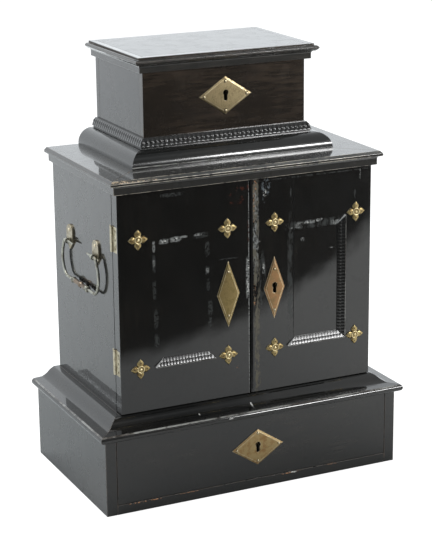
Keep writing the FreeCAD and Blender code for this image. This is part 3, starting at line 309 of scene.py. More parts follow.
def eased(node_name, finishes, corner=0.5 * mm, steps=2):
    """A copy of a board with its corners rubbed round. The last finish is on the corners."""
    board = copied(frame["nodes"][node_name], node_name + "_eased")
    take_up(board)
    bpy.ops.object.mode_set(mode="EDIT")
    bpy.ops.mesh.select_all(action="SELECT")
    bpy.ops.mesh.customdata_custom_splitnormals_clear()
    bpy.ops.mesh.remove_doubles(threshold=same_place)
    bpy.ops.mesh.dissolve_limited(angle_limit=same_plane)
    bpy.ops.object.mode_set(mode="OBJECT")
    finish_with(board, *finishes)
    for face in board.data.polygons:
        face.material_index = 0
    if corner:
        rubbed = board.modifiers.new("rubbed_corners", "BEVEL")
        rubbed.width = corner
        rubbed.segments = steps
        rubbed.limit_method = "ANGLE"
        rubbed.angle_limit = rubbed_from_angle
        rubbed.material = len(finishes) - 1
        bpy.ops.object.modifier_apply(modifier=rubbed.name)
    bpy.ops.object.shade_smooth_by_angle(angle=smooth_below_angle)
    flat = board.modifiers.new("flat_faces", "WEIGHTED_NORMAL")
    flat.keep_sharp = True
    bpy.ops.object.modifier_apply(modifier=flat.name)
    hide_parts(node_name)
    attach(board, body_of[node_name])
    return board


def new_finish(name):
    """A new material, with its nodes and its one shader."""
    material = bpy.data.materials.new(name)
    material.use_nodes = True
    return material, material.node_tree, material.node_tree.nodes["Principled BSDF"]


def ebonised(name, grain, fade, black=(0.0046, 0.0047, 0.0044, 1.0),
             faded=(0.028, 0.023, 0.017, 1.0), wave=0.22 * mm, haze=0.03):
    """Black polish: a stained wood under a clear glossy coat that isn't quite flat. grain is
    how the pores stretch along x, y and z, fade how much of the brown wood shows through, wave
    how high the coat's waves are and haze how dull it is."""
    material, tree, polish = new_finish(name)
    polish.inputs["Coat Weight"].default_value = 1.0
    polish.inputs["Coat Roughness"].default_value = haze
    polish.inputs["Specular IOR Level"].default_value = 0.08
    place = add(tree, "TexCoord").outputs["Object"]
    along = add(tree, "Mapping", Scale=grain)
    wire(tree, place, along, "Vector")
    fibres = noise(tree, along.outputs[0], 260.0, 6.0, 0.6)
    clouds = noise(tree, place, 11.0, 4.0, 0.55)
    smudges = noise(tree, place, 42.0, 5.0, 0.6)
    worn = sums(tree, "MULTIPLY", ease(tree, clouds, 0.35, 0.75), ease(tree, fibres, 0.3, 0.75))
    brown = sums(tree, "MULTIPLY", worn, fade)
    wire(tree, tinted(tree, brown, black, faded), polish, "Base Color")
    wire(tree, ease(tree, smudges, 0.3, 0.75, 0.20, 0.32), polish, "Roughness")
    pores = add(tree, "Bump", Strength=0.2, Distance=0.03 * mm)
    wire(tree, fibres, pores, "Height")
    waves = add(tree, "Bump", Strength=1.0, Distance=wave)
    wire(tree, noise(tree, place, 17.0, 2.0), waves, "Height")
    wire(tree, waves.outputs[0], pores, "Normal")
    wire(tree, pores.outputs[0], polish, "Normal")
    wire(tree, waves.outputs[0], polish, "Coat Normal")
    return material


def edge_wear_and_painted_line(name, rub, pale, coat=0.6, shine=0.5):
    """A corner where the polish and some of the stain have rubbed away; the same finish also draws thin
    painted highlight and painted shadow lines. rub is how much of it shows the pale wood, coat how
    much polish is left."""
    material, tree, polish = new_finish(name)
    polish.inputs["Coat Weight"].default_value = coat
    polish.inputs["Coat Roughness"].default_value = 0.12
    polish.inputs["Specular IOR Level"].default_value = shine
    place = add(tree, "TexCoord").outputs["Object"]
    nicks = noise(tree, place, 130.0, 6.0, 0.65)
    stretches = noise(tree, place, 14.0, 3.0)
    both = sums(tree, "ADD", nicks, stretches)
    bare = ease(tree, both, 1.22 - rub, 1.5 - rub)
    dark = tinted(tree, ease(tree, nicks, 0.3, 0.7), (0.012, 0.010, 0.008, 1.0),
                  (0.045, 0.032, 0.022, 1.0))
    wire(tree, tinted(tree, bare, dark, pale), polish, "Base Color")
    wire(tree, ease(tree, nicks, 0.3, 0.7, 0.22, 0.5), polish, "Roughness")
    dents = add(tree, "Bump", Strength=0.6, Distance=0.12 * mm)
    wire(tree, nicks, dents, "Height")
    wire(tree, dents.outputs[0], polish, "Normal")
    return material


def blended(tree, factor, first, second):
    """A number between two others, the first a socket or a plain number."""
    made = add(tree, "Mix")
    wire(tree, factor, made, "Factor")
    sockets = [s for s in made.inputs if s.identifier in ("A_Float", "B_Float")]
    if isinstance(first, float):
        sockets[0].default_value = first
    else:
        tree.links.new(first, sockets[0])
    sockets[1].default_value = second
    return made.outputs[0]


def scar(material, colour, roughness, spots, cover=0.5, grit=420.0, stretch=(1.0, 1.0, 1.0), coat=0.0):
    """Scrapes or stains on the front's polish. Each spot is the x and z of its middle and half
    its width and height, in mm. cover is how much of a spot is marked, grit how fine, stretch how
    the marks are drawn out, and coat how much polish is left on them."""
    tree = material.node_tree
    polish = tree.nodes["Principled BSDF"]
    place = add(tree, "TexCoord").outputs["Object"]
    drawn_out = add(tree, "Mapping", Scale=stretch)
    wire(tree, place, drawn_out, "Vector")
    crumbs = noise(tree, drawn_out.outputs[0], grit, 4.0, 0.65)
    ragged = sums(tree, "MULTIPLY", noise(tree, place, 300.0, 3.0, 0.6), 1.6)
    shape = None
    for x, z, half_x, half_z in spots:
        moved = add(tree, "Mapping", Location=(-x / half_x, 0.0, -z / half_z),
                    Scale=(1.0 / (half_x * mm), 0.0, 1.0 / (half_z * mm)))
        wire(tree, place, moved, "Vector")
        squared = add(tree, "VectorMath")
        squared.operation = "MULTIPLY"
        wire(tree, moved.outputs[0], squared, 0)
        wire(tree, moved.outputs[0], squared, 1)
        far = add(tree, "VectorMath")
        far.operation = "LENGTH"
        wire(tree, squared.outputs[0], far, 0)
        fill = ease(tree, sums(tree, "ADD", far.outputs["Value"], ragged), 2.2, 1.3)
        shape = fill if shape is None else sums(tree, "MAXIMUM", shape, fill)
    mark = sums(tree, "MULTIPLY", shape, ease(tree, crumbs, 0.66 - 0.32 * cover, 0.80 - 0.32 * cover))
    before = {socket: polish.inputs[socket].links[0].from_socket if polish.inputs[socket].is_linked
              else polish.inputs[socket].default_value
              for socket in ("Base Color", "Roughness", "Coat Weight")}
    wire(tree, tinted(tree, mark, before["Base Color"], colour), polish, "Base Color")
    wire(tree, blended(tree, mark, before["Roughness"], roughness), polish, "Roughness")
    wire(tree, blended(tree, mark, before["Coat Weight"], coat), polish, "Coat Weight")


def refinish(piece, finish, wanted):
    """Gives another finish to those faces of a piece that are wanted."""
    piece.data.materials.append(finish)
    for face in piece.data.polygons:
        if wanted(face):
            face.material_index = len(piece.data.materials) - 1


def looks_back(face):
    """Whether a face is on the back of its board, where a scar of the front must not show."""
    return face.normal.y > 0.5


grey_scrape = (0.16, 0.165, 0.16, 1.0)
dim_scrape = (0.030, 0.032, 0.031, 1.0)
white_chip = (0.60, 0.60, 0.57, 1.0)
bare_orange = (0.32, 0.16, 0.08, 1.0)
blue_smear = (0.10, 0.115, 0.125, 1.0)
red_stain = (0.055, 0.014, 0.008, 1.0)
grain_x = (0.10, 1.0, 1.0)
grain_y = (1.0, 0.10, 1.0)
grain_z = (1.0, 1.0, 0.10)
black_along_x = ebonised("black_polish_grain_x", grain_x, 0.35)
black_along_y = ebonised("black_polish_grain_y", grain_y, 0.35)
black_along_z = ebonised("black_polish_grain_z", grain_z, 0.35)
rubbed = edge_wear_and_painted_line("rubbed_corner", 0.10, (0.16, 0.095, 0.05, 1.0))

eased("base_left_side", (black_along_y, rubbed), 0.7 * mm)
eased("base_right_side", (black_along_y, rubbed), 0.7 * mm)
bottom_black = ebonised("base_bottom_polish", grain_x, 0.35)
scar(bottom_black, bare_orange, 0.5, [(50, 11.3, 13, 0.9), (108, 12, 9, 0.7), (-150, 11.2, 22, 0.7),
                                      (-90, 11.6, 12, 0.5)], 0.62)
scar(bottom_black, white_chip, 0.5, [(54, 11.2, 4, 0.8)], 0.8)
bottom = eased("base_bottom", (bottom_black, rubbed), 0.6 * mm)
refinish(bottom, black_along_x, looks_back)
eased("base_back", (black_along_x, rubbed))
eased("base_top", (black_along_x, rubbed))


# Base moulding. Three lengths of a nose and cove, planed from the same wood, mitred at the
# corners and glued round the top board. A pale band along the top of the nose is a painted
# highlight line.
# A pale grey finish that paints thin highlight lines along rounded edges.
painted_highlight_line = edge_wear_and_painted_line("painted_highlight_line", 0.34, (0.22, 0.22, 0.205, 1.0))
moulding_black = ebonised("base_moulding_polish", grain_x, 0.35)
scar(moulding_black, white_chip, 0.5,
     [(-72, 107, 0.9, 0.7), (0, 107.5, 1.1, 1.8), (-37, 101, 3, 0.6)], 0.8)
nose_line_foot = 103.7 * mm
nose_line_head = 105.1 * mm
nose_line_steepest = 0.3
nose_line_flattest = 0.96
# Each length gets a painted highlight line along the top of its nose.
for side in ("front", "left", "right"):
    finish = moulding_black if side == "front" else black_along_y
    moulding = eased("base_moulding_" + side, (finish, rubbed), 0.4 * mm)
    refinish(moulding, painted_highlight_line, lambda face: nose_line_foot < face.center.z < nose_line_head
             and nose_line_steepest < face.normal.z < nose_line_flattest)


# Drawer. A front stained black on a box of plain oak boards, with its lock let in behind.
def plain_wood(name, grain, pale=(0.36, 0.235, 0.125, 1.0), dark=(0.20, 0.115, 0.055, 1.0)):
    """Bare oak, browned by age and handling, with darker growth lines along the board."""
    material, tree, wood = new_finish(name)
    place = add(tree, "TexCoord").outputs["Object"]
    along = add(tree, "Mapping", Scale=grain)
    wire(tree, place, along, "Vector")
    rings = noise(tree, along.outputs[0], 120.0, 5.0, 0.6)
    pores = noise(tree, along.outputs[0], 700.0, 3.0, 0.7)
    stains = noise(tree, place, 16.0, 4.0)
    figure = sums(tree, "ADD", sums(tree, "MULTIPLY", rings, 0.7),
                  sums(tree, "MULTIPLY", pores, 0.3))
    lined = tinted(tree, ease(tree, figure, 0.38, 0.62), dark, pale)
    wire(tree, tinted(tree, ease(tree, stains, 0.45, 0.8), lined, dark), wood, "Base Color")
    wire(tree, ease(tree, pores, 0.3, 0.7, 0.5, 0.72), wood, "Roughness")
    rough = add(tree, "Bump", Strength=0.5, Distance=0.08 * mm)
    wire(tree, figure, rough, "Height")
    wire(tree, rough.outputs[0], wood, "Normal")
    return material


oak_along_x = plain_wood("oak_grain_x", (0.06, 1.0, 1.0))
oak_along_y = plain_wood("oak_grain_y", (1.0, 0.06, 1.0))
oak_along_z = plain_wood("oak_grain_z", (1.0, 1.0, 0.06))

eased("drawer_front", (black_along_x, rubbed), 0.5 * mm)
eased("drawer_left_side", (oak_along_y,), 0.4 * mm)
eased("drawer_right_side", (oak_along_y,), 0.4 * mm)
eased("drawer_back", (oak_along_x,), 0.4 * mm)
eased("drawer_bottom", (oak_along_x,), 0.3 * mm)


# Case. Two sides, a bottom and a back round open shelves, with a top board rebated for the
# cornice. The sides and the top are stained black, and the rest is left plain.
eased("case_left_side", (black_along_z, rubbed))
eased("case_right_side", (black_along_z, rubbed))
scuffed_black = {"black": (0.022, 0.022, 0.021, 1.0), "faded": (0.065, 0.059, 0.050, 1.0)}
scuffed_along_x = ebonised("scuffed_polish_grain_x", grain_x, 0.5, **scuffed_black)
scuffed_along_y = ebonised("scuffed_polish_grain_y", grain_y, 0.5, **scuffed_black)
eased("case_top", (scuffed_along_x, rubbed), 0.3 * mm)
eased("case_bottom", (oak_along_x,), 0.4 * mm)
eased("case_back", (oak_along_z,), 0.4 * mm)
eased("shelves", (oak_along_x,), 0.4 * mm)


# Cornice. Three mitred lengths with a fascia, a hollow and a rounded arris, glued into the
# rebate of the top board. The arris is the most worn edge of the cabinet.
worn_arris = edge_wear_and_painted_line("worn_arris", 0.38, (0.42, 0.38, 0.31, 1.0))
scraped_slope = ebonised("scraped_slope_polish", grain_x, 1.0, black=(0.040, 0.041, 0.039, 1.0),
                         faded=(0.16, 0.155, 0.14, 1.0))
bare_tan = (0.42, 0.33, 0.23, 1.0)
scar(scraped_slope, bare_tan, 0.5, [(-168, 406, 16, 3), (-138, 406.5, 18, 0.9)], 0.6)
scar(scraped_slope, dim_scrape, 0.5,
     [(-60, 406.5, 40, 1.6), (40, 406.5, 50, 1.2), (140, 406.5, 30, 1.4)], 0.6)
slope_foot = 405.3 * mm
slope_steepest = 0.45
slope_flattest = 0.85
cornice = eased("cornice_front", (scuffed_along_x, worn_arris), 0.5 * mm, 3)
refinish(cornice, scraped_slope, lambda face: face.center.z > slope_foot
         and slope_steepest < face.normal.z < slope_flattest)
for side in ("left", "right"):
    eased("cornice_" + side, (scuffed_along_y, rubbed), 0.5 * mm, 3)


# Doors. Solid boards laid over the front edges of the case. The polish has kept the scars of
# lost ripple strips, a scraped band where a strip covered the joint, and scratches and chips.
# A dark band along the joint on the right door is a painted shadow of the gap.
left_door_black = ebonised("left_door_polish", grain_z, 0.22, wave=0.26 * mm)
scar(left_door_black, dim_scrape, 0.5, [
    (-122, 302, 2.0, 11), (-122, 268, 2.2, 12), (-120.5, 232, 3.0, 11), (-120, 205, 3.2, 8),
    (-52, 311, 3.0, 9), (-52, 284, 3.0, 5), (-51, 266, 2.0, 7), (-48.5, 236, 3.2, 9),
    (-49, 218, 2.6, 6), (-60, 329, 9, 3.5), (-98, 383, 14, 2.2), (-24, 295, 12, 0.9)], 0.72)
scar(left_door_black, grey_scrape, 0.45, [
    (-122, 322, 1.8, 7), (-122, 302, 1.6, 4), (-109, 327.2, 6.0, 3.0), (-93.5, 328.2, 7.0, 3.2),
    (-83, 329.8, 5.0, 1.4), (-64, 330, 5, 1.4), (-52, 284, 1.8, 3.0), (2.6, 268, 2.6, 25),
    (4.0, 254, 0.7, 137)], 0.85)
scar(left_door_black, white_chip, 0.5, [
    (-109, 327.6, 3.0, 1.4), (-95, 328.6, 3.4, 1.5), (3.6, 284, 0.9, 6), (2.6, 256, 1.1, 8)], 0.6)
scar(left_door_black, red_stain, 0.3, [(-9, 372, 13, 10), (3.4, 350, 1.6, 36)], 0.42, 90.0, coat=0.8)
scar(left_door_black, bare_orange, 0.5, [(-11.8, 155, 2.2, 2.2)], 0.35)

old_glue = (0.085, 0.078, 0.060, 1.0)
joint_shadow_and_score = (0.003, 0.003, 0.003, 1.0)
right_door_black = ebonised("right_door_polish", grain_z, 0.22, wave=0.26 * mm)
scar(right_door_black, dim_scrape, 0.55, [
    (61.0, 262, 3.6, 78), (61.5, 352, 1.2, 32), (95, 325, 38, 5), (120, 291, 5, 1.0),
    (120.5, 270, 3.5, 1.0), (96, 386.5, 76, 0.8), (152, 356, 1.6, 5), (23, 260, 4, 34)], 0.68, 190.0,
     stretch=(1.0, 1.0, 0.3), coat=0.35)
scar(right_door_black, grey_scrape, 0.5, [
    (13.4, 330, 3.8, 56), (24.0, 277, 2.0, 7), (75, 326.3, 7, 2.4),
    (88, 327.6, 7, 2.2), (101, 328.4, 5, 2.0), (69, 322.5, 8, 1.2), (126, 323, 8, 3),
    (78, 306.5, 2.2, 2.2), (158.6, 381, 1.0, 6), (119.5, 291, 2.6, 0.6)],
     0.72, stretch=(1.0, 1.0, 0.45))
scar(right_door_black, old_glue, 0.6, [
    (13.4, 330, 4.4, 60), (14.8, 240, 4.2, 50), (15.6, 155, 4.2, 40)], 0.62, 240.0,
     stretch=(1.0, 1.0, 0.3))
scar(right_door_black, bare_orange, 0.55, [(12.4, 381, 2.4, 8), (11.6, 252, 1.6, 6), (11.5, 365, 1.4, 30),
                                           (11.8, 240, 1.4, 10)], 0.42)
scar(right_door_black, white_chip, 0.5, [
    (26, 371, 2.2, 4.5), (24, 278, 1.2, 3.6), (19.4, 311.4, 1.1, 1.1),
    (80, 327, 6, 1.2), (97, 328.6, 4, 1.1), (11.6, 250, 0.9, 2.4)], 0.42)
scar(right_door_black, blue_smear, 0.4, [(27.5, 378, 6.5, 10), (25, 366, 2.6, 7)], 0.45, 330.0,
     stretch=(1.0, 1.0, 0.6), coat=0.4)
# The long band beside the joint is a painted shadow of the gap between the doors; the thin line at x 65.6 mm
# is a dark score.
scar(right_door_black, joint_shadow_and_score, 0.7, [(7.9, 254, 1.7, 137), (65.6, 287, 0.5, 103)], 1.2)

for node_name, front_black in (("left_door", left_door_black), ("right_door", right_door_black)):
    door = eased(node_name, (front_black, rubbed), 0.7 * mm)
    refinish(door, black_along_z, looks_back)


# Box. Four walls and a bottom on the case, the front browner than the doors, with a
# quarter-round plinth glued round its foot.
brown_along_x = ebonised("brown_polish_grain_x", grain_x, 0.9, black=(0.014, 0.0112, 0.0088, 1.0),
                         faded=(0.060, 0.044, 0.032, 1.0))
eased("box_front", (brown_along_x, rubbed))
eased("box_left_side", (black_along_y, rubbed))
eased("box_right_side", (black_along_y, rubbed))
eased("box_back", (black_along_x, rubbed))
eased("box_bottom", (oak_along_x,), 0.3 * mm)
ovolo_black = ebonised("ovolo_polish", grain_x, 0.5, black=(0.0055, 0.0060, 0.0056, 1.0), haze=0.14)
ovolo = eased("box_ovolo", (ovolo_black, rubbed), 0.3 * mm)
# A pale band along the foot of the ovolo is a painted highlight line.
ovolo_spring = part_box("box_ovolo")[0].z + 2.0 * mm
half_line = 0.7 * mm
refinish(ovolo, painted_highlight_line, lambda face: abs(face.center.z - ovolo_spring) < half_line
         and face.normal.y < -0.6 and abs(face.normal.z) > 0.02)


# Lid. One thick board, with mitred mouldings on its front and ends. The upright faces of the
# small step round its top are painted dark, a painted shadow line along the step.
eased("lid_board", (black_along_x, rubbed))
lid_moulding = eased("lid_mouldings", (scuffed_along_x, rubbed), 0.5 * mm, 3)
painted_step_shadow = edge_wear_and_painted_line("painted_step_shadow", 0.0, (0.03, 0.03, 0.03, 1.0), coat=0.0, shine=0.15)
lid_step_foot = 536.7 * mm
lid_step_head = 538.4 * mm
refinish(lid_moulding, black_along_x, lambda face: face.center.z > lid_step_head)
# The upright faces of the step get the painted shadow.
refinish(lid_moulding, painted_step_shadow, lambda face: lid_step_foot < face.center.z < lid_step_head
         and abs(face.normal.z) < 0.5)


# Ripple strips. Thin mouldings of the same black wood, whose face was scraped into close waves
# on a ripple bench. They were glued round the foot of the box and, once, in a frame on each door.
ripple_black = ebonised("ripple_polish", grain_x, 0.25, wave=0.05 * mm, haze=0.20)
door_ripple_black = ebonised("door_ripple_polish", grain_x, 0.25, wave=0.05 * mm, haze=0.25)
bare_end = edge_wear_and_painted_line("bare_end", 0.9, (0.90, 0.88, 0.84, 1.0))


def ripple_strip(name, outline, pitch, count, rise_steps=6):
    """A straight strip along +x from the origin, open at its ends until they are cut. outline
    holds, going round its section, how far out and how high each corner is, and how deep the
    waves cut it in and down. Each wave has a round crest and a sharp foot."""
    strip = primitive(bpy.ops.mesh.primitive_grid_add, x_subdivisions=rise_steps,
                      y_subdivisions=len(outline), size=1)
    strip.name = name
    for corner in strip.data.vertices:
        along = corner.co.x + 0.5
        turn = round((corner.co.y + 0.5) * len(outline)) % len(outline)
        out, up, cut_in, cut_down = outline[turn]
        wave = 1.0 - abs(math.sin(math.pi * along))
        corner.co = (along * pitch, -(out - cut_in * wave), up - cut_down * wave)
    repeat = strip.modifiers.new("ripples", "ARRAY")
    repeat.count = count
    repeat.use_relative_offset = False
    repeat.use_constant_offset = True
    repeat.constant_offset_displace = (pitch, 0.0, 0.0)
    repeat.use_merge_vertices = True
    repeat.merge_threshold = 0.01 * mm
    take_up(strip)
    bpy.ops.object.modifier_apply(modifier=repeat.name)
    bpy.ops.object.mode_set(mode="EDIT")
    bpy.ops.mesh.select_all(action="SELECT")
    bpy.ops.mesh.remove_doubles(threshold=0.005 * mm)
    bpy.ops.mesh.normals_make_consistent(inside=False)
    bpy.ops.object.mode_set(mode="OBJECT")
    finish_with(strip, ripple_black, bare_end, painted_highlight_line)
    return strip


def cut_end(strip, at, normal):
    """Saws an end off along a plane and keeps the side that the normal points away from. The
    sawn face gets the strip's second finish."""
    take_up(strip)
    bpy.ops.object.mode_set(mode="EDIT")
    bpy.ops.mesh.select_all(action="SELECT")
    bpy.ops.mesh.bisect(plane_co=at, plane_no=normal, use_fill=True, clear_outer=True)
    bpy.ops.object.mode_set(mode="OBJECT")
    outward = Vector(normal).normalized()
    for face in strip.data.polygons:
        if face.normal.dot(outward) > 0.98:
            face.material_index = 1


def put(piece, turn=None, place=(0.0, 0.0, 0.0)):
    """Turns and moves a piece's own mesh, so that its object stays at the origin."""
    piece.data.transform(Matrix.Translation(place) @ (turn or Matrix.Identity(4)))
    piece.data.update()


def smooth(piece, angle=50):
    """Shades a piece round, except where its faces meet at more than so many degrees."""
    take_up(piece)
    bpy.ops.object.shade_smooth_by_angle(angle=math.radians(angle))


def joined(name, pieces):
    """Several meshes as one piece."""
    take_up(pieces[0])
    for piece in pieces:
        piece.select_set(True)
    bpy.ops.object.join()
    pieces[0].name = name
    return pieces[0]


box_low, box_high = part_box("box_ripple_strips")
box_face_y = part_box("box_front")[0].y
box_left_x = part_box("box_left_side")[0].x
box_right_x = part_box("box_right_side")[1].x
foot_out = box_face_y - box_low.y
strip_height = box_high.z - box_low.z
box_ripple_outline = [
    (0.0, 0.0, 0.0, 0.0),
    (foot_out, 0.0, 0.0, 0.0),
    (foot_out, 0.08 * strip_height, 0.0, 0.0),
    (0.97 * foot_out, 0.13 * strip_height, 0.5 * mm, 0.1 * mm),
    (0.90 * foot_out, 0.36 * strip_height, 0.6 * mm, 0.2 * mm),
    (0.78 * foot_out, 0.41 * strip_height, 0.2 * mm, 0.1 * mm),
    (0.84 * foot_out, 0.47 * strip_height, 0.7 * mm, 0.2 * mm),
    (0.79 * foot_out, 0.60 * strip_height, 1.0 * mm, 0.3 * mm),
    (0.71 * foot_out, 0.74 * strip_height, 0.9 * mm, 0.4 * mm),
    (0.54 * foot_out, 0.82 * strip_height, 0.3 * mm, 0.2 * mm),
    (0.46 * foot_out, 0.90 * strip_height, 0.0, 0.0),
    (0.36 * foot_out, 1.0 * strip_height, 0.0, 0.0),
    (0.0, 1.0 * strip_height, 0.0, 0.0),
]
box_ripple_pitch = 6.1 * mm
front_length = box_high.x - box_low.x
side_length = box_high.y - box_low.y
front_strip = ripple_strip("box_front_ripples", box_ripple_outline, box_ripple_pitch,
                           math.ceil(front_length / box_ripple_pitch))
put(front_strip, place=(box_low.x, box_face_y, box_low.z))
cut_end(front_strip, (box_left_x, box_face_y, 0.0), (-1.0, 1.0, 0.0))
cut_end(front_strip, (box_right_x, box_face_y, 0.0), (1.0, 1.0, 0.0))
side_strips = []
side_waves = math.ceil(side_length / box_ripple_pitch)
for side, face_x, name in ((-1, box_left_x, "left"), (1, box_right_x, "right")):
    strip = ripple_strip("box_" + name + "_ripples", box_ripple_outline, box_ripple_pitch, side_waves)
    start_y = box_low.y if side > 0 else box_low.y + side_waves * box_ripple_pitch
    put(strip, Matrix.Rotation(side * math.pi / 2, 4, "Z"), (face_x, start_y, box_low.z))
    cut_end(strip, (face_x, box_face_y, 0.0), (-side, -1.0, 0.0))
    cut_end(strip, (face_x, box_high.y, 0.0), (0.0, 1.0, 0.0))
    side_strips.append(strip)
box_ripples = joined("box_ripple_strips_waved", [front_strip] + side_strips)
smooth(box_ripples)
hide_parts("box_ripple_strips")
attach(box_ripples, "cabinet")


# Frames on the doors. Of the two square frames of narrow ripple strip, mitred and glued, one
# length is left on the left door and two on the right one. They are thickest at the outer edge.
strip_low, strip_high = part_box("left_door_ripple_strip")
strip_width = strip_high.z - strip_low.z
strip_proud = strip_high.y - strip_low.y
door_face_y = strip_high.y
# A painted highlight line along the outer arris of each strip: how low it reaches and how far out it starts,
# as shares of the strip's width and of how proud it stands.
highlight_line_height = 0.06
highlight_line_out = 0.9
door_ripple_pitch = 4.2 * mm
door_ripple_outline = [
    (0.0, 0.0, 0.0, 0.0),
    (0.86 * strip_proud, 0.0, 0.0, 0.0),
    (0.98 * strip_proud, 0.02 * strip_width, 0.0, 0.0),
    (1.0 * strip_proud, 0.07 * strip_width, 0.08 * mm, 0.0),
    (0.93 * strip_proud, 0.16 * strip_width, 0.17 * mm, 0.0),
    (0.59 * strip_proud, 0.50 * strip_width, 0.15 * mm, 0.0),
    (0.52 * strip_proud, 0.53 * strip_width, 0.0, 0.0),
    (0.60 * strip_proud, 0.57 * strip_width, 0.12 * mm, 0.0),
    (0.22 * strip_proud, 0.94 * strip_width, 0.12 * mm, 0.0),
    (0.12 * strip_proud, 1.0 * strip_width, 0.0, 0.0),
    (0.0, 1.0 * strip_width, 0.0, 0.0),
]


def frame_length(name, length, turn, corner, cuts, depth=1.0):
    """One length of a door's frame, turned, put at its outer corner and cut at both ends. depth
    is how much is left of the height of its ripples."""
    worn_outline = [(out, up, depth * cut_in, cut_down)
                    for out, up, cut_in, cut_down in door_ripple_outline]
    strip = ripple_strip(name, worn_outline, door_ripple_pitch, math.ceil(length / door_ripple_pitch))
    finish_with(strip, door_ripple_black, bare_end, painted_highlight_line)
    # The faces along the outer arris get the painted highlight line.
    for face in strip.data.polygons:
        if face.center.z < highlight_line_height * strip_width and -face.center.y > highlight_line_out * strip_proud:
            face.material_index = 2
    put(strip, turn, corner)
    for at, normal in cuts:
        cut_end(strip, at, normal)
    return strip


def foot_length(name, node_name, depth):
    """The foot of a door's frame, mitred at both ends."""
    low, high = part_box(node_name)
    left = (low.x, door_face_y, low.z)
    right = (high.x, door_face_y, low.z)
    return frame_length(name, high.x - low.x, None, left,
                        ((left, (-1.0, 0.0, 1.0)), (right, (1.0, 0.0, 1.0))), depth)


left_foot_depth = 1.0
right_foot_depth = 0.95
right_upright_depth = 2.0
left_strip = foot_length("left_door_ripple_strip_waved", "left_door_ripple_strip", left_foot_depth)
right_low, right_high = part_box("right_door_ripple_strips")
right_corner = (right_high.x, door_face_y, right_low.z)
right_head = (right_high.x, door_face_y, right_high.z)
right_upright = frame_length("right_door_upright_strip", right_high.z - right_low.z,
                             Matrix.Rotation(-math.pi / 2, 4, "Y"), right_corner,
                             ((right_corner, (-1.0, 0.0, -1.0)), (right_head, (-1.0, 0.0, 1.0))),
                             right_upright_depth)
right_foot = foot_length("right_door_foot_strip", "right_door_ripple_strips", right_foot_depth)
right_strips = joined("right_door_ripple_strips_waved", [right_foot, right_upright])
for strip, node_name, door in ((left_strip, "left_door_ripple_strip", "left_leaf"),
                               (right_strips, "right_door_ripple_strips", "right_leaf")):
    smooth(strip)
    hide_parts(node_name)
    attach(strip, door)


# Rosettes. Eight cast brass flowers with four pointed petals round a ringed middle, each petal
# nailed to the door, dull in the low places and rubbed bright along the rims.
def brass(name, clean, dull, tarnish=0.5, bump=0.06 * mm, speckle=0.35):
    """Old brass with clouds of tarnish and fine filing marks. tarnish is how much of it is dull,
    bump how deep the marks are, and speckle how much of the tarnish is in fine specks."""
    material, tree, metal = new_finish(name)
    metal.inputs["Metallic"].default_value = 1.0
    place = add(tree, "TexCoord").outputs["Object"]
    clouds = noise(tree, place, 130.0, 4.0, 0.6)
    specks = noise(tree, place, 900.0, 3.0, 0.6)
    both = sums(tree, "ADD", sums(tree, "MULTIPLY", clouds, 1.0 - speckle),
                sums(tree, "MULTIPLY", specks, speckle))
    dulled = ease(tree, both, 0.62 - 0.3 * tarnish, 0.74 - 0.3 * tarnish)
    wire(tree, tinted(tree, dulled, clean, dull), metal, "Base Color")
    wire(tree, ease(tree, both, 0.3, 0.7, 0.28, 0.52), metal, "Roughness")
    filed = add(tree, "Bump", Strength=0.5, Distance=bump)
    wire(tree, both, filed, "Height")
    wire(tree, filed.outputs[0], metal, "Normal")
    return material


def pick_faces(piece, wanted):
    """Opens a piece in edit mode with only the wanted faces selected."""
    take_up(piece)
    bpy.ops.object.mode_set(mode="EDIT")
    bpy.ops.mesh.select_mode(type="FACE")
    bpy.ops.mesh.select_all(action="DESELECT")
    bpy.ops.object.mode_set(mode="OBJECT")
    for face in piece.data.polygons:
        face.select = wanted(face)
    bpy.ops.object.mode_set(mode="EDIT")


def nail_head(name, centre, radius, rise, finish, facing=(0.0, -1.0, 0.0), foot_finish=None):
    """A domed nail head, its round edge sunk a little in its plate, with a second finish, if given, on the
    lower part of its dome.
    """
    head = primitive(bpy.ops.mesh.primitive_uv_sphere_add, segments=16, ring_count=8, radius=1.0)
    head.name = name
    pick_faces(head, lambda face: face.center.z < -0.4)
    bpy.ops.mesh.delete(type="FACE")
    bpy.ops.object.mode_set(mode="OBJECT")
    finish_with(head, finish, foot_finish or finish)
    for face in head.data.polygons:
        face.material_index = 1 if face.center.z < 0.6 else 0
    turn = Vector(facing).to_track_quat("Z", "Y").to_matrix().to_4x4()
    put(head, turn @ Matrix.Diagonal((radius, radius, rise, 1.0)), centre)
    return head


def between(shares, at):
    """The second share that goes with a first one, in a table of pairs that rises."""
    for (start, low), (end, high) in zip(shares, shares[1:]):
        if at <= end:
            return low + (high - low) * (at - start) / (end - start)
    return shares[-1][1]


rosette_brass = brass("rosette_brass", (0.36, 0.28, 0.13, 1.0), (0.13, 0.085, 0.035, 1.0), 0.5,
                      0.12 * mm, 0.5)
nail_iron = brass("nail_iron", (0.10, 0.075, 0.05, 1.0), (0.05, 0.04, 0.03, 1.0))
rubbed_brass = brass("rubbed_brass", (0.80, 0.70, 0.50, 1.0), (0.45, 0.36, 0.22, 1.0), 0.3)
rim_brass = brass("rosette_rim_brass", (0.62, 0.52, 0.31, 1.0), (0.34, 0.26, 0.13, 1.0), 0.3)
rosette_reach = 12.8 * mm
rosette_space = 13.5 * mm
petal_half_width_shares = ((0.0, 0.20), (0.28, 0.26), (0.40, 0.33), (0.52, 0.36), (0.62, 0.34),
                           (0.74, 0.25), (0.84, 0.15), (0.93, 0.06), (1.0, 0.0))
petal_rim = 0.5 * mm
petal_crown = 1.5 * mm
petal_tip_share = 0.55
rim_steepness = 0.55
petal_nail_share = 0.62
petal_nail_radius = 0.95 * mm
petal_nail_rise = 0.6 * mm
petal_nail_sunk = 0.2 * mm
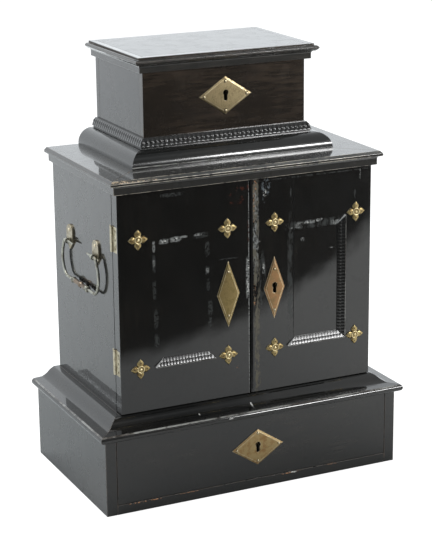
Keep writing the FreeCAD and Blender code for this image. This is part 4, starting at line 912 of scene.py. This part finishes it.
ring_radius = 4.2 * mm
ring_thickness = 0.75 * mm
boss_radius = 2.0 * mm
boss_rise = 1.1 * mm
petal = primitive(bpy.ops.mesh.primitive_grid_add, x_subdivisions=8, y_subdivisions=16, size=1)
for corner in petal.data.vertices:
    across = 2 * corner.co.x
    along = corner.co.y + 0.5
    toward_tip = max(0.0, (along - petal_tip_share) / (1 - petal_tip_share))
    swell = ((1 - min(1.0, abs(across)) ** 3) * (1 - min(1.0, toward_tip) ** 3)) ** 0.6
    half_width = between(petal_half_width_shares, along) * rosette_reach
    corner.co = (across * half_width, -(petal_rim + petal_crown * swell), along * rosette_reach)
take_up(petal)
bpy.ops.object.mode_set(mode="EDIT")
bpy.ops.mesh.select_all(action="SELECT")
bpy.ops.mesh.remove_doubles(threshold=0.01 * mm)
bpy.ops.mesh.select_mode(type="EDGE")
bpy.ops.mesh.select_all(action="DESELECT")
bpy.ops.mesh.select_non_manifold(extend=False)
bpy.ops.mesh.extrude_region_move(TRANSFORM_OT_translate={"value": (0.0, petal_rim, 0.0)})
bpy.ops.mesh.edge_face_add()
bpy.ops.mesh.select_all(action="SELECT")
bpy.ops.mesh.normals_make_consistent(inside=False)
bpy.ops.object.mode_set(mode="OBJECT")
finish_with(petal, rosette_brass, rim_brass)
for face in petal.data.polygons:
    if abs(face.normal.y) < rim_steepness:
        face.material_index = 1
ring_out = petal_rim + petal_crown
petal_nail = nail_head("petal_nail", (0.0, -ring_out + petal_nail_sunk, petal_nail_share * rosette_reach),
                       petal_nail_radius, petal_nail_rise, nail_iron)
petal = joined("petal", [petal, petal_nail])
petals = [petal]
for number in range(1, 4):
    copy = copied(petal, "petal")
    put(copy, Matrix.Rotation(number * math.pi / 2, 4, "Y"))
    petals.append(copy)
ring = primitive(bpy.ops.mesh.primitive_torus_add, major_radius=ring_radius,
                 minor_radius=ring_thickness, major_segments=32, minor_segments=10)
put(ring, Matrix.Rotation(math.pi / 2, 4, "X"), (0.0, -ring_out, 0.0))
middle_boss = nail_head("rosette_middle", (0.0, -ring_out, 0.0), boss_radius, boss_rise, rim_brass)
dish = primitive(bpy.ops.mesh.primitive_cylinder_add, vertices=32, radius=ring_radius, depth=ring_out)
put(dish, Matrix.Rotation(math.pi / 2, 4, "X"), (0.0, -ring_out / 2, 0.0))
finish_with(ring, rim_brass)
finish_with(dish, rosette_brass)
rosette = joined("rosette", petals + [ring, dish, middle_boss])

for node_name, door in (("left_door_rosettes", "left_leaf"), ("right_door_rosettes", "right_leaf")):
    low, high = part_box(node_name)
    flowers = []
    for x in (low.x + rosette_space, high.x - rosette_space):
        for z in (low.z + rosette_space, high.z - rosette_space):
            flower = copied(rosette, "rosette")
            put(flower, place=(x, door_face_y, z))
            flowers.append(flower)
    flowers = joined(node_name + "_cast", flowers)
    smooth(flowers)
    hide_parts(node_name)
    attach(flowers, door)
bpy.data.objects.remove(rosette)


# Lozenges. Four filed brass plates with a wide bevel, nailed through their tips, round the
# keyholes of the drawer, the box and the right door, with a blank one to match on the left.
lozenge_border = 2.2 * mm
lozenge_border_rise = 0.8 * mm
lozenge_soft_edge = 0.22 * mm
keyhole_round_radius = 3.6 * mm
keyhole_slot_width = 4.8 * mm
keyhole_height = 13.8 * mm
cutter_depth = 20 * mm


def cut_away(piece, cutter):
    """Cuts one shape out of another, and throws the first away."""
    cut = piece.modifiers.new("cut", "BOOLEAN")
    cut.operation = "DIFFERENCE"
    cut.object = cutter
    cut.solver = "EXACT"
    take_up(piece)
    bpy.ops.object.modifier_apply(modifier=cut.name)
    bpy.data.objects.remove(cutter)


def lozenge(node_name, finish, nail_x_share, nail_high_share, nail_low_share, nail_radius, keyhole=True):
    """A lozenge on the place of its node, with its bevel, its keyhole and its nails. The shares
    are how far from its middle toward its tips the nails are."""
    low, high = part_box(node_name)
    centre = (low + high) / 2
    half_width = (high.x - low.x) / 2
    half_height = (high.z - low.z) / 2
    edge_depth = high.y - low.y - lozenge_border_rise
    plate = primitive(bpy.ops.mesh.primitive_cylinder_add, vertices=4, radius=1.0, depth=1.0)
    plate.name = node_name + "_filed"
    size = Matrix.Diagonal((half_width, half_height, edge_depth, 1.0))
    put(plate, Matrix.Rotation(math.pi / 2, 4, "X") @ size, (centre.x, high.y - edge_depth / 2, centre.z))
    pick_faces(plate, lambda face: face.normal.y < -0.9)
    bpy.ops.mesh.inset(thickness=lozenge_border, depth=lozenge_border_rise)
    bpy.ops.object.mode_set(mode="OBJECT")
    if keyhole:
        round_z = centre.z + keyhole_height / 2 - keyhole_round_radius
        foot_z = centre.z - keyhole_height / 2 + keyhole_slot_width / 2
        bore = primitive(bpy.ops.mesh.primitive_cylinder_add, vertices=28, radius=keyhole_round_radius,
                         depth=cutter_depth)
        foot_bore = copied(bore, "foot_bore")
        put(bore, Matrix.Rotation(math.pi / 2, 4, "X"), (centre.x, high.y, round_z))
        cut_away(plate, bore)
        narrow = keyhole_slot_width / (2 * keyhole_round_radius)
        put(foot_bore, Matrix.Rotation(math.pi / 2, 4, "X") @ Matrix.Diagonal((narrow, narrow, 1.0, 1.0)),
            (centre.x, high.y, foot_z))
        cut_away(plate, foot_bore)
        slot = primitive(bpy.ops.mesh.primitive_cube_add, size=1.0)
        put(slot, Matrix.Diagonal((keyhole_slot_width, cutter_depth, round_z - foot_z, 1.0)),
            (centre.x, high.y, (round_z + foot_z) / 2))
        cut_away(plate, slot)
    finish_with(plate, finish, filed_edge)
    soft = plate.modifiers.new("soft_edges", "BEVEL")
    soft.width = lozenge_soft_edge
    soft.segments = 2
    soft.limit_method = "ANGLE"
    soft.angle_limit = math.radians(15)
    soft.material = 1
    take_up(plate)
    bpy.ops.object.modifier_apply(modifier=soft.name)
    spots = [(0.0, nail_high_share), (0.0, -nail_low_share)]
    if nail_x_share:
        spots += [(-nail_x_share, 0.0), (nail_x_share, 0.0)]
    nails = [nail_head("lozenge_nail",
                       (centre.x + x * half_width, low.y + 0.1 * mm, centre.z + z * half_height),
                       nail_radius, 0.5 * nail_radius, nail_brass, foot_finish=nail_foot_dark) for x, z in spots]
    smooth(plate, 8)
    for nail in nails:
        smooth(nail)
    plate = joined(node_name + "_filed", [plate] + nails)
    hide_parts(node_name)
    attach(plate, body_of[node_name])


filed_edge = brass("filed_edge", (0.62, 0.53, 0.36, 1.0), (0.30, 0.24, 0.13, 1.0), 0.4)
nail_brass = brass("nail_brass", (0.52, 0.44, 0.29, 1.0), (0.28, 0.22, 0.12, 1.0), 0.3)
# A dark finish for the lower part of the lozenge nails' domes.
nail_foot_dark = brass("nail_foot_dark", (0.05, 0.037, 0.022, 1.0), (0.02, 0.014, 0.008, 1.0), 0.5)
box_brass = brass("box_lozenge_brass", (0.30, 0.24, 0.135, 1.0), (0.12, 0.09, 0.048, 1.0), 0.45,
                  0.16 * mm, 0.7)
drawer_brass = brass("drawer_lozenge_brass", (0.29, 0.215, 0.105, 1.0), (0.22, 0.13, 0.055, 1.0), 0.5)
left_brass = brass("left_lozenge_brass", (0.235, 0.175, 0.078, 1.0), (0.17, 0.13, 0.052, 1.0), 0.5)
right_brass = brass("right_lozenge_brass", (0.30, 0.175, 0.085, 1.0), (0.21, 0.14, 0.07, 1.0), 0.5)
lozenge("box_escutcheon", box_brass, 0.81, 0.74, 0.79, 2.2 * mm)
lozenge("drawer_escutcheon", drawer_brass, 0.82, 0.78, 0.76, 1.8 * mm)
lozenge("left_door_lozenge", left_brass, 0.0, 0.68, 0.65, 1.6 * mm, keyhole=False)
lozenge("right_door_escutcheon", right_brass, 0.0, 0.60, 0.71, 1.7 * mm)


# Hinges. Brass butt hinges let into the edges of the doors and the case, with brass screws, and
# two more behind that carry the lid.
hinge_brass = brass("hinge_brass", (0.55, 0.505, 0.38, 1.0), (0.34, 0.295, 0.20, 1.0), 0.5)
for node_name in ("door_hinge_case_leaves", "left_door_hinge_leaves", "right_door_hinge_leaves",
                  "lid_hinge_box_leaves", "lid_hinge_lid_leaves"):
    eased(node_name, (hinge_brass, rubbed_brass), 0.12 * mm, 1)

dark_brass = brass("dark_brass", (0.28, 0.24, 0.16, 1.0), (0.13, 0.10, 0.06, 1.0), 0.6)
screw_radius = 1.5 * mm
screw_rise = 0.3 * mm
screw_slot_width = 0.4 * mm
screw_slot_middle = 0.32 * mm
screw_turn_step = 0.9
screw = primitive(bpy.ops.mesh.primitive_cylinder_add, vertices=16, radius=screw_radius, depth=screw_rise)
pick_faces(screw, lambda face: face.normal.z > 0.9)
bpy.ops.mesh.inset(thickness=0.35 * mm, depth=0.12 * mm)
bpy.ops.object.mode_set(mode="OBJECT")
slot = primitive(bpy.ops.mesh.primitive_cube_add, size=1.0)
put(slot, Matrix.Diagonal((screw_slot_width, 4 * screw_radius, screw_rise, 1.0)),
    (0.0, 0.0, screw_slot_middle))
cut_away(screw, slot)
finish_with(screw, dark_brass)


def screws(name, body, places, facing):
    """Screws with their heads on the given places, all facing one way."""
    turn = Vector(facing).to_track_quat("Z", "Y").to_matrix().to_4x4()
    heads = []
    for number, place in enumerate(places):
        head = copied(screw, name)
        put(head, turn @ Matrix.Rotation(screw_turn_step * number, 4, "Z"), place)
        heads.append(head)
    heads = joined(name, heads)
    smooth(heads, 35)
    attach(heads, body)


leaf_low, leaf_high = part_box("left_door_hinge_leaves")
case_back_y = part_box("door_hinge_case_leaves")[1].y
half_leaf = 15.75 * mm
screw_spacing = 11 * mm
door_screw_inset = 4.2 * mm
case_screw_inset = 2.4 * mm
head_proud = 0.05 * mm
screw_levels = [level + rise for level in (leaf_low.z + half_leaf, leaf_high.z - half_leaf)
                for rise in (-screw_spacing, 0, screw_spacing)]
for side, name, body in ((-1, "left", "left_leaf"), (1, "right", "right_leaf")):
    low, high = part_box("case_" + name + "_side")
    heads_x = (low.x if side < 0 else high.x) + side * head_proud
    door_places = [(heads_x, leaf_low.y + door_screw_inset, level) for level in screw_levels]
    case_places = [(heads_x, case_back_y - case_screw_inset, level) for level in screw_levels]
    screws(name + "_door_hinge_screws", body, door_places, (side, 0, 0))
    screws(name + "_case_hinge_screws", "cabinet", case_places, (side, 0, 0))
bpy.data.objects.remove(screw)


# Handles. A forged bail with a turned grip hangs in two eyes on each side of the case, and each
# eye passes through an arched brass plate, held above by a round nail.
plate_brass = brass("handle_plate_brass", (0.40, 0.36, 0.27, 1.0), (0.25, 0.215, 0.155, 1.0), 0.45, 0.1 * mm)
bail_metal = brass("bail_grey_brass", (0.40, 0.40, 0.345, 1.0), (0.20, 0.185, 0.15, 1.0), 0.5)
eased("handle_plates", (plate_brass, rubbed_brass), 0.35 * mm)
eased("handle_eyes", (bail_metal,), 0)
grip_brass = brass("grip_brown_brass", (0.23, 0.18, 0.135, 1.0), (0.12, 0.09, 0.065, 1.0), 0.5)
half_grip = 17 * mm
grip_height = 12 * mm
bail_stoutness = 0.35 * mm
for node_name in ("left_bail", "right_bail"):
    bail = eased(node_name, (bail_metal,), 0)
    stout = bail.modifiers.new("stout", "DISPLACE")
    stout.mid_level = 0.0
    stout.strength = bail_stoutness
    take_up(bail)
    bpy.ops.object.modifier_apply(modifier=stout.name)
    bail_low, bail_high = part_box(node_name)
    grip_middle = (bail_low.y + bail_high.y) / 2
    refinish(bail, grip_brass, lambda face: face.center.z < bail_low.z + grip_height
             and abs(face.center.y - grip_middle) < half_grip)
plate_low, plate_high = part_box("handle_plates")
half_plate = 10 * mm
nail_from_plate_head = 6.5 * mm
plate_nail_radius = 2.0 * mm
plate_nail_rise = 1.0 * mm
nails = []
for side, plate_x in ((-1, plate_low.x), (1, plate_high.x)):
    for y in (plate_low.y + half_plate, plate_high.y - half_plate):
        nails.append(nail_head("handle_plate_nail", (plate_x, y, plate_high.z - nail_from_plate_head),
                               plate_nail_radius, plate_nail_rise, rubbed_brass, (side, 0.0, 0.0)))
nails = joined("handle_plate_nails", nails)
smooth(nails)
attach(nails, "cabinet")


# Locks. Brass cases let into the wood, with a drill pin in each keyhole and bolts of iron. The
# left door has an iron bolt on a brass plate inside.
old_brass = brass("old_brass", (0.46, 0.37, 0.22, 1.0), (0.27, 0.21, 0.12, 1.0))
old_iron, tree, iron = new_finish("old_iron")
iron.inputs["Metallic"].default_value = 0.9
place = add(tree, "TexCoord").outputs["Object"]
rust = noise(tree, place, 240.0, 5.0, 0.6)
wire(tree, tinted(tree, ease(tree, rust, 0.4, 0.65), (0.20, 0.19, 0.18, 1.0), (0.10, 0.05, 0.03, 1.0)),
     iron, "Base Color")
wire(tree, ease(tree, rust, 0.3, 0.7, 0.35, 0.65), iron, "Roughness")
for node_name in ("drawer_lock_case", "right_door_lock_case", "box_lock_case", "left_door_bolt_plate"):
    eased(node_name, (old_brass, rubbed_brass), 0.3 * mm)
for node_name in ("drawer_lock_bolt", "right_door_lock_bolt", "box_lock_bolt", "left_door_bolt",
                  "lid_lock_staple"):
    eased(node_name, (old_iron,), 0.2 * mm)

# Pieces left plain. Every CAD piece gets the plain finish of its slot, which shows only on those
# that have no finer copy above, such as the hinge pins.
plain_finish = {
    "ebonised_wood": black_along_x,
    "plain_wood": oak_along_x,
    "brass": old_brass,
    "iron": old_iron,
}
for part in frame["record"]["subparts"]:
    node = frame["nodes"][part["node"]]
    finish_with(node, plain_finish[part["material_slot"]])

# Picture. The picture has plain colours.
bpy.context.scene.view_settings.view_transform = "Standard"
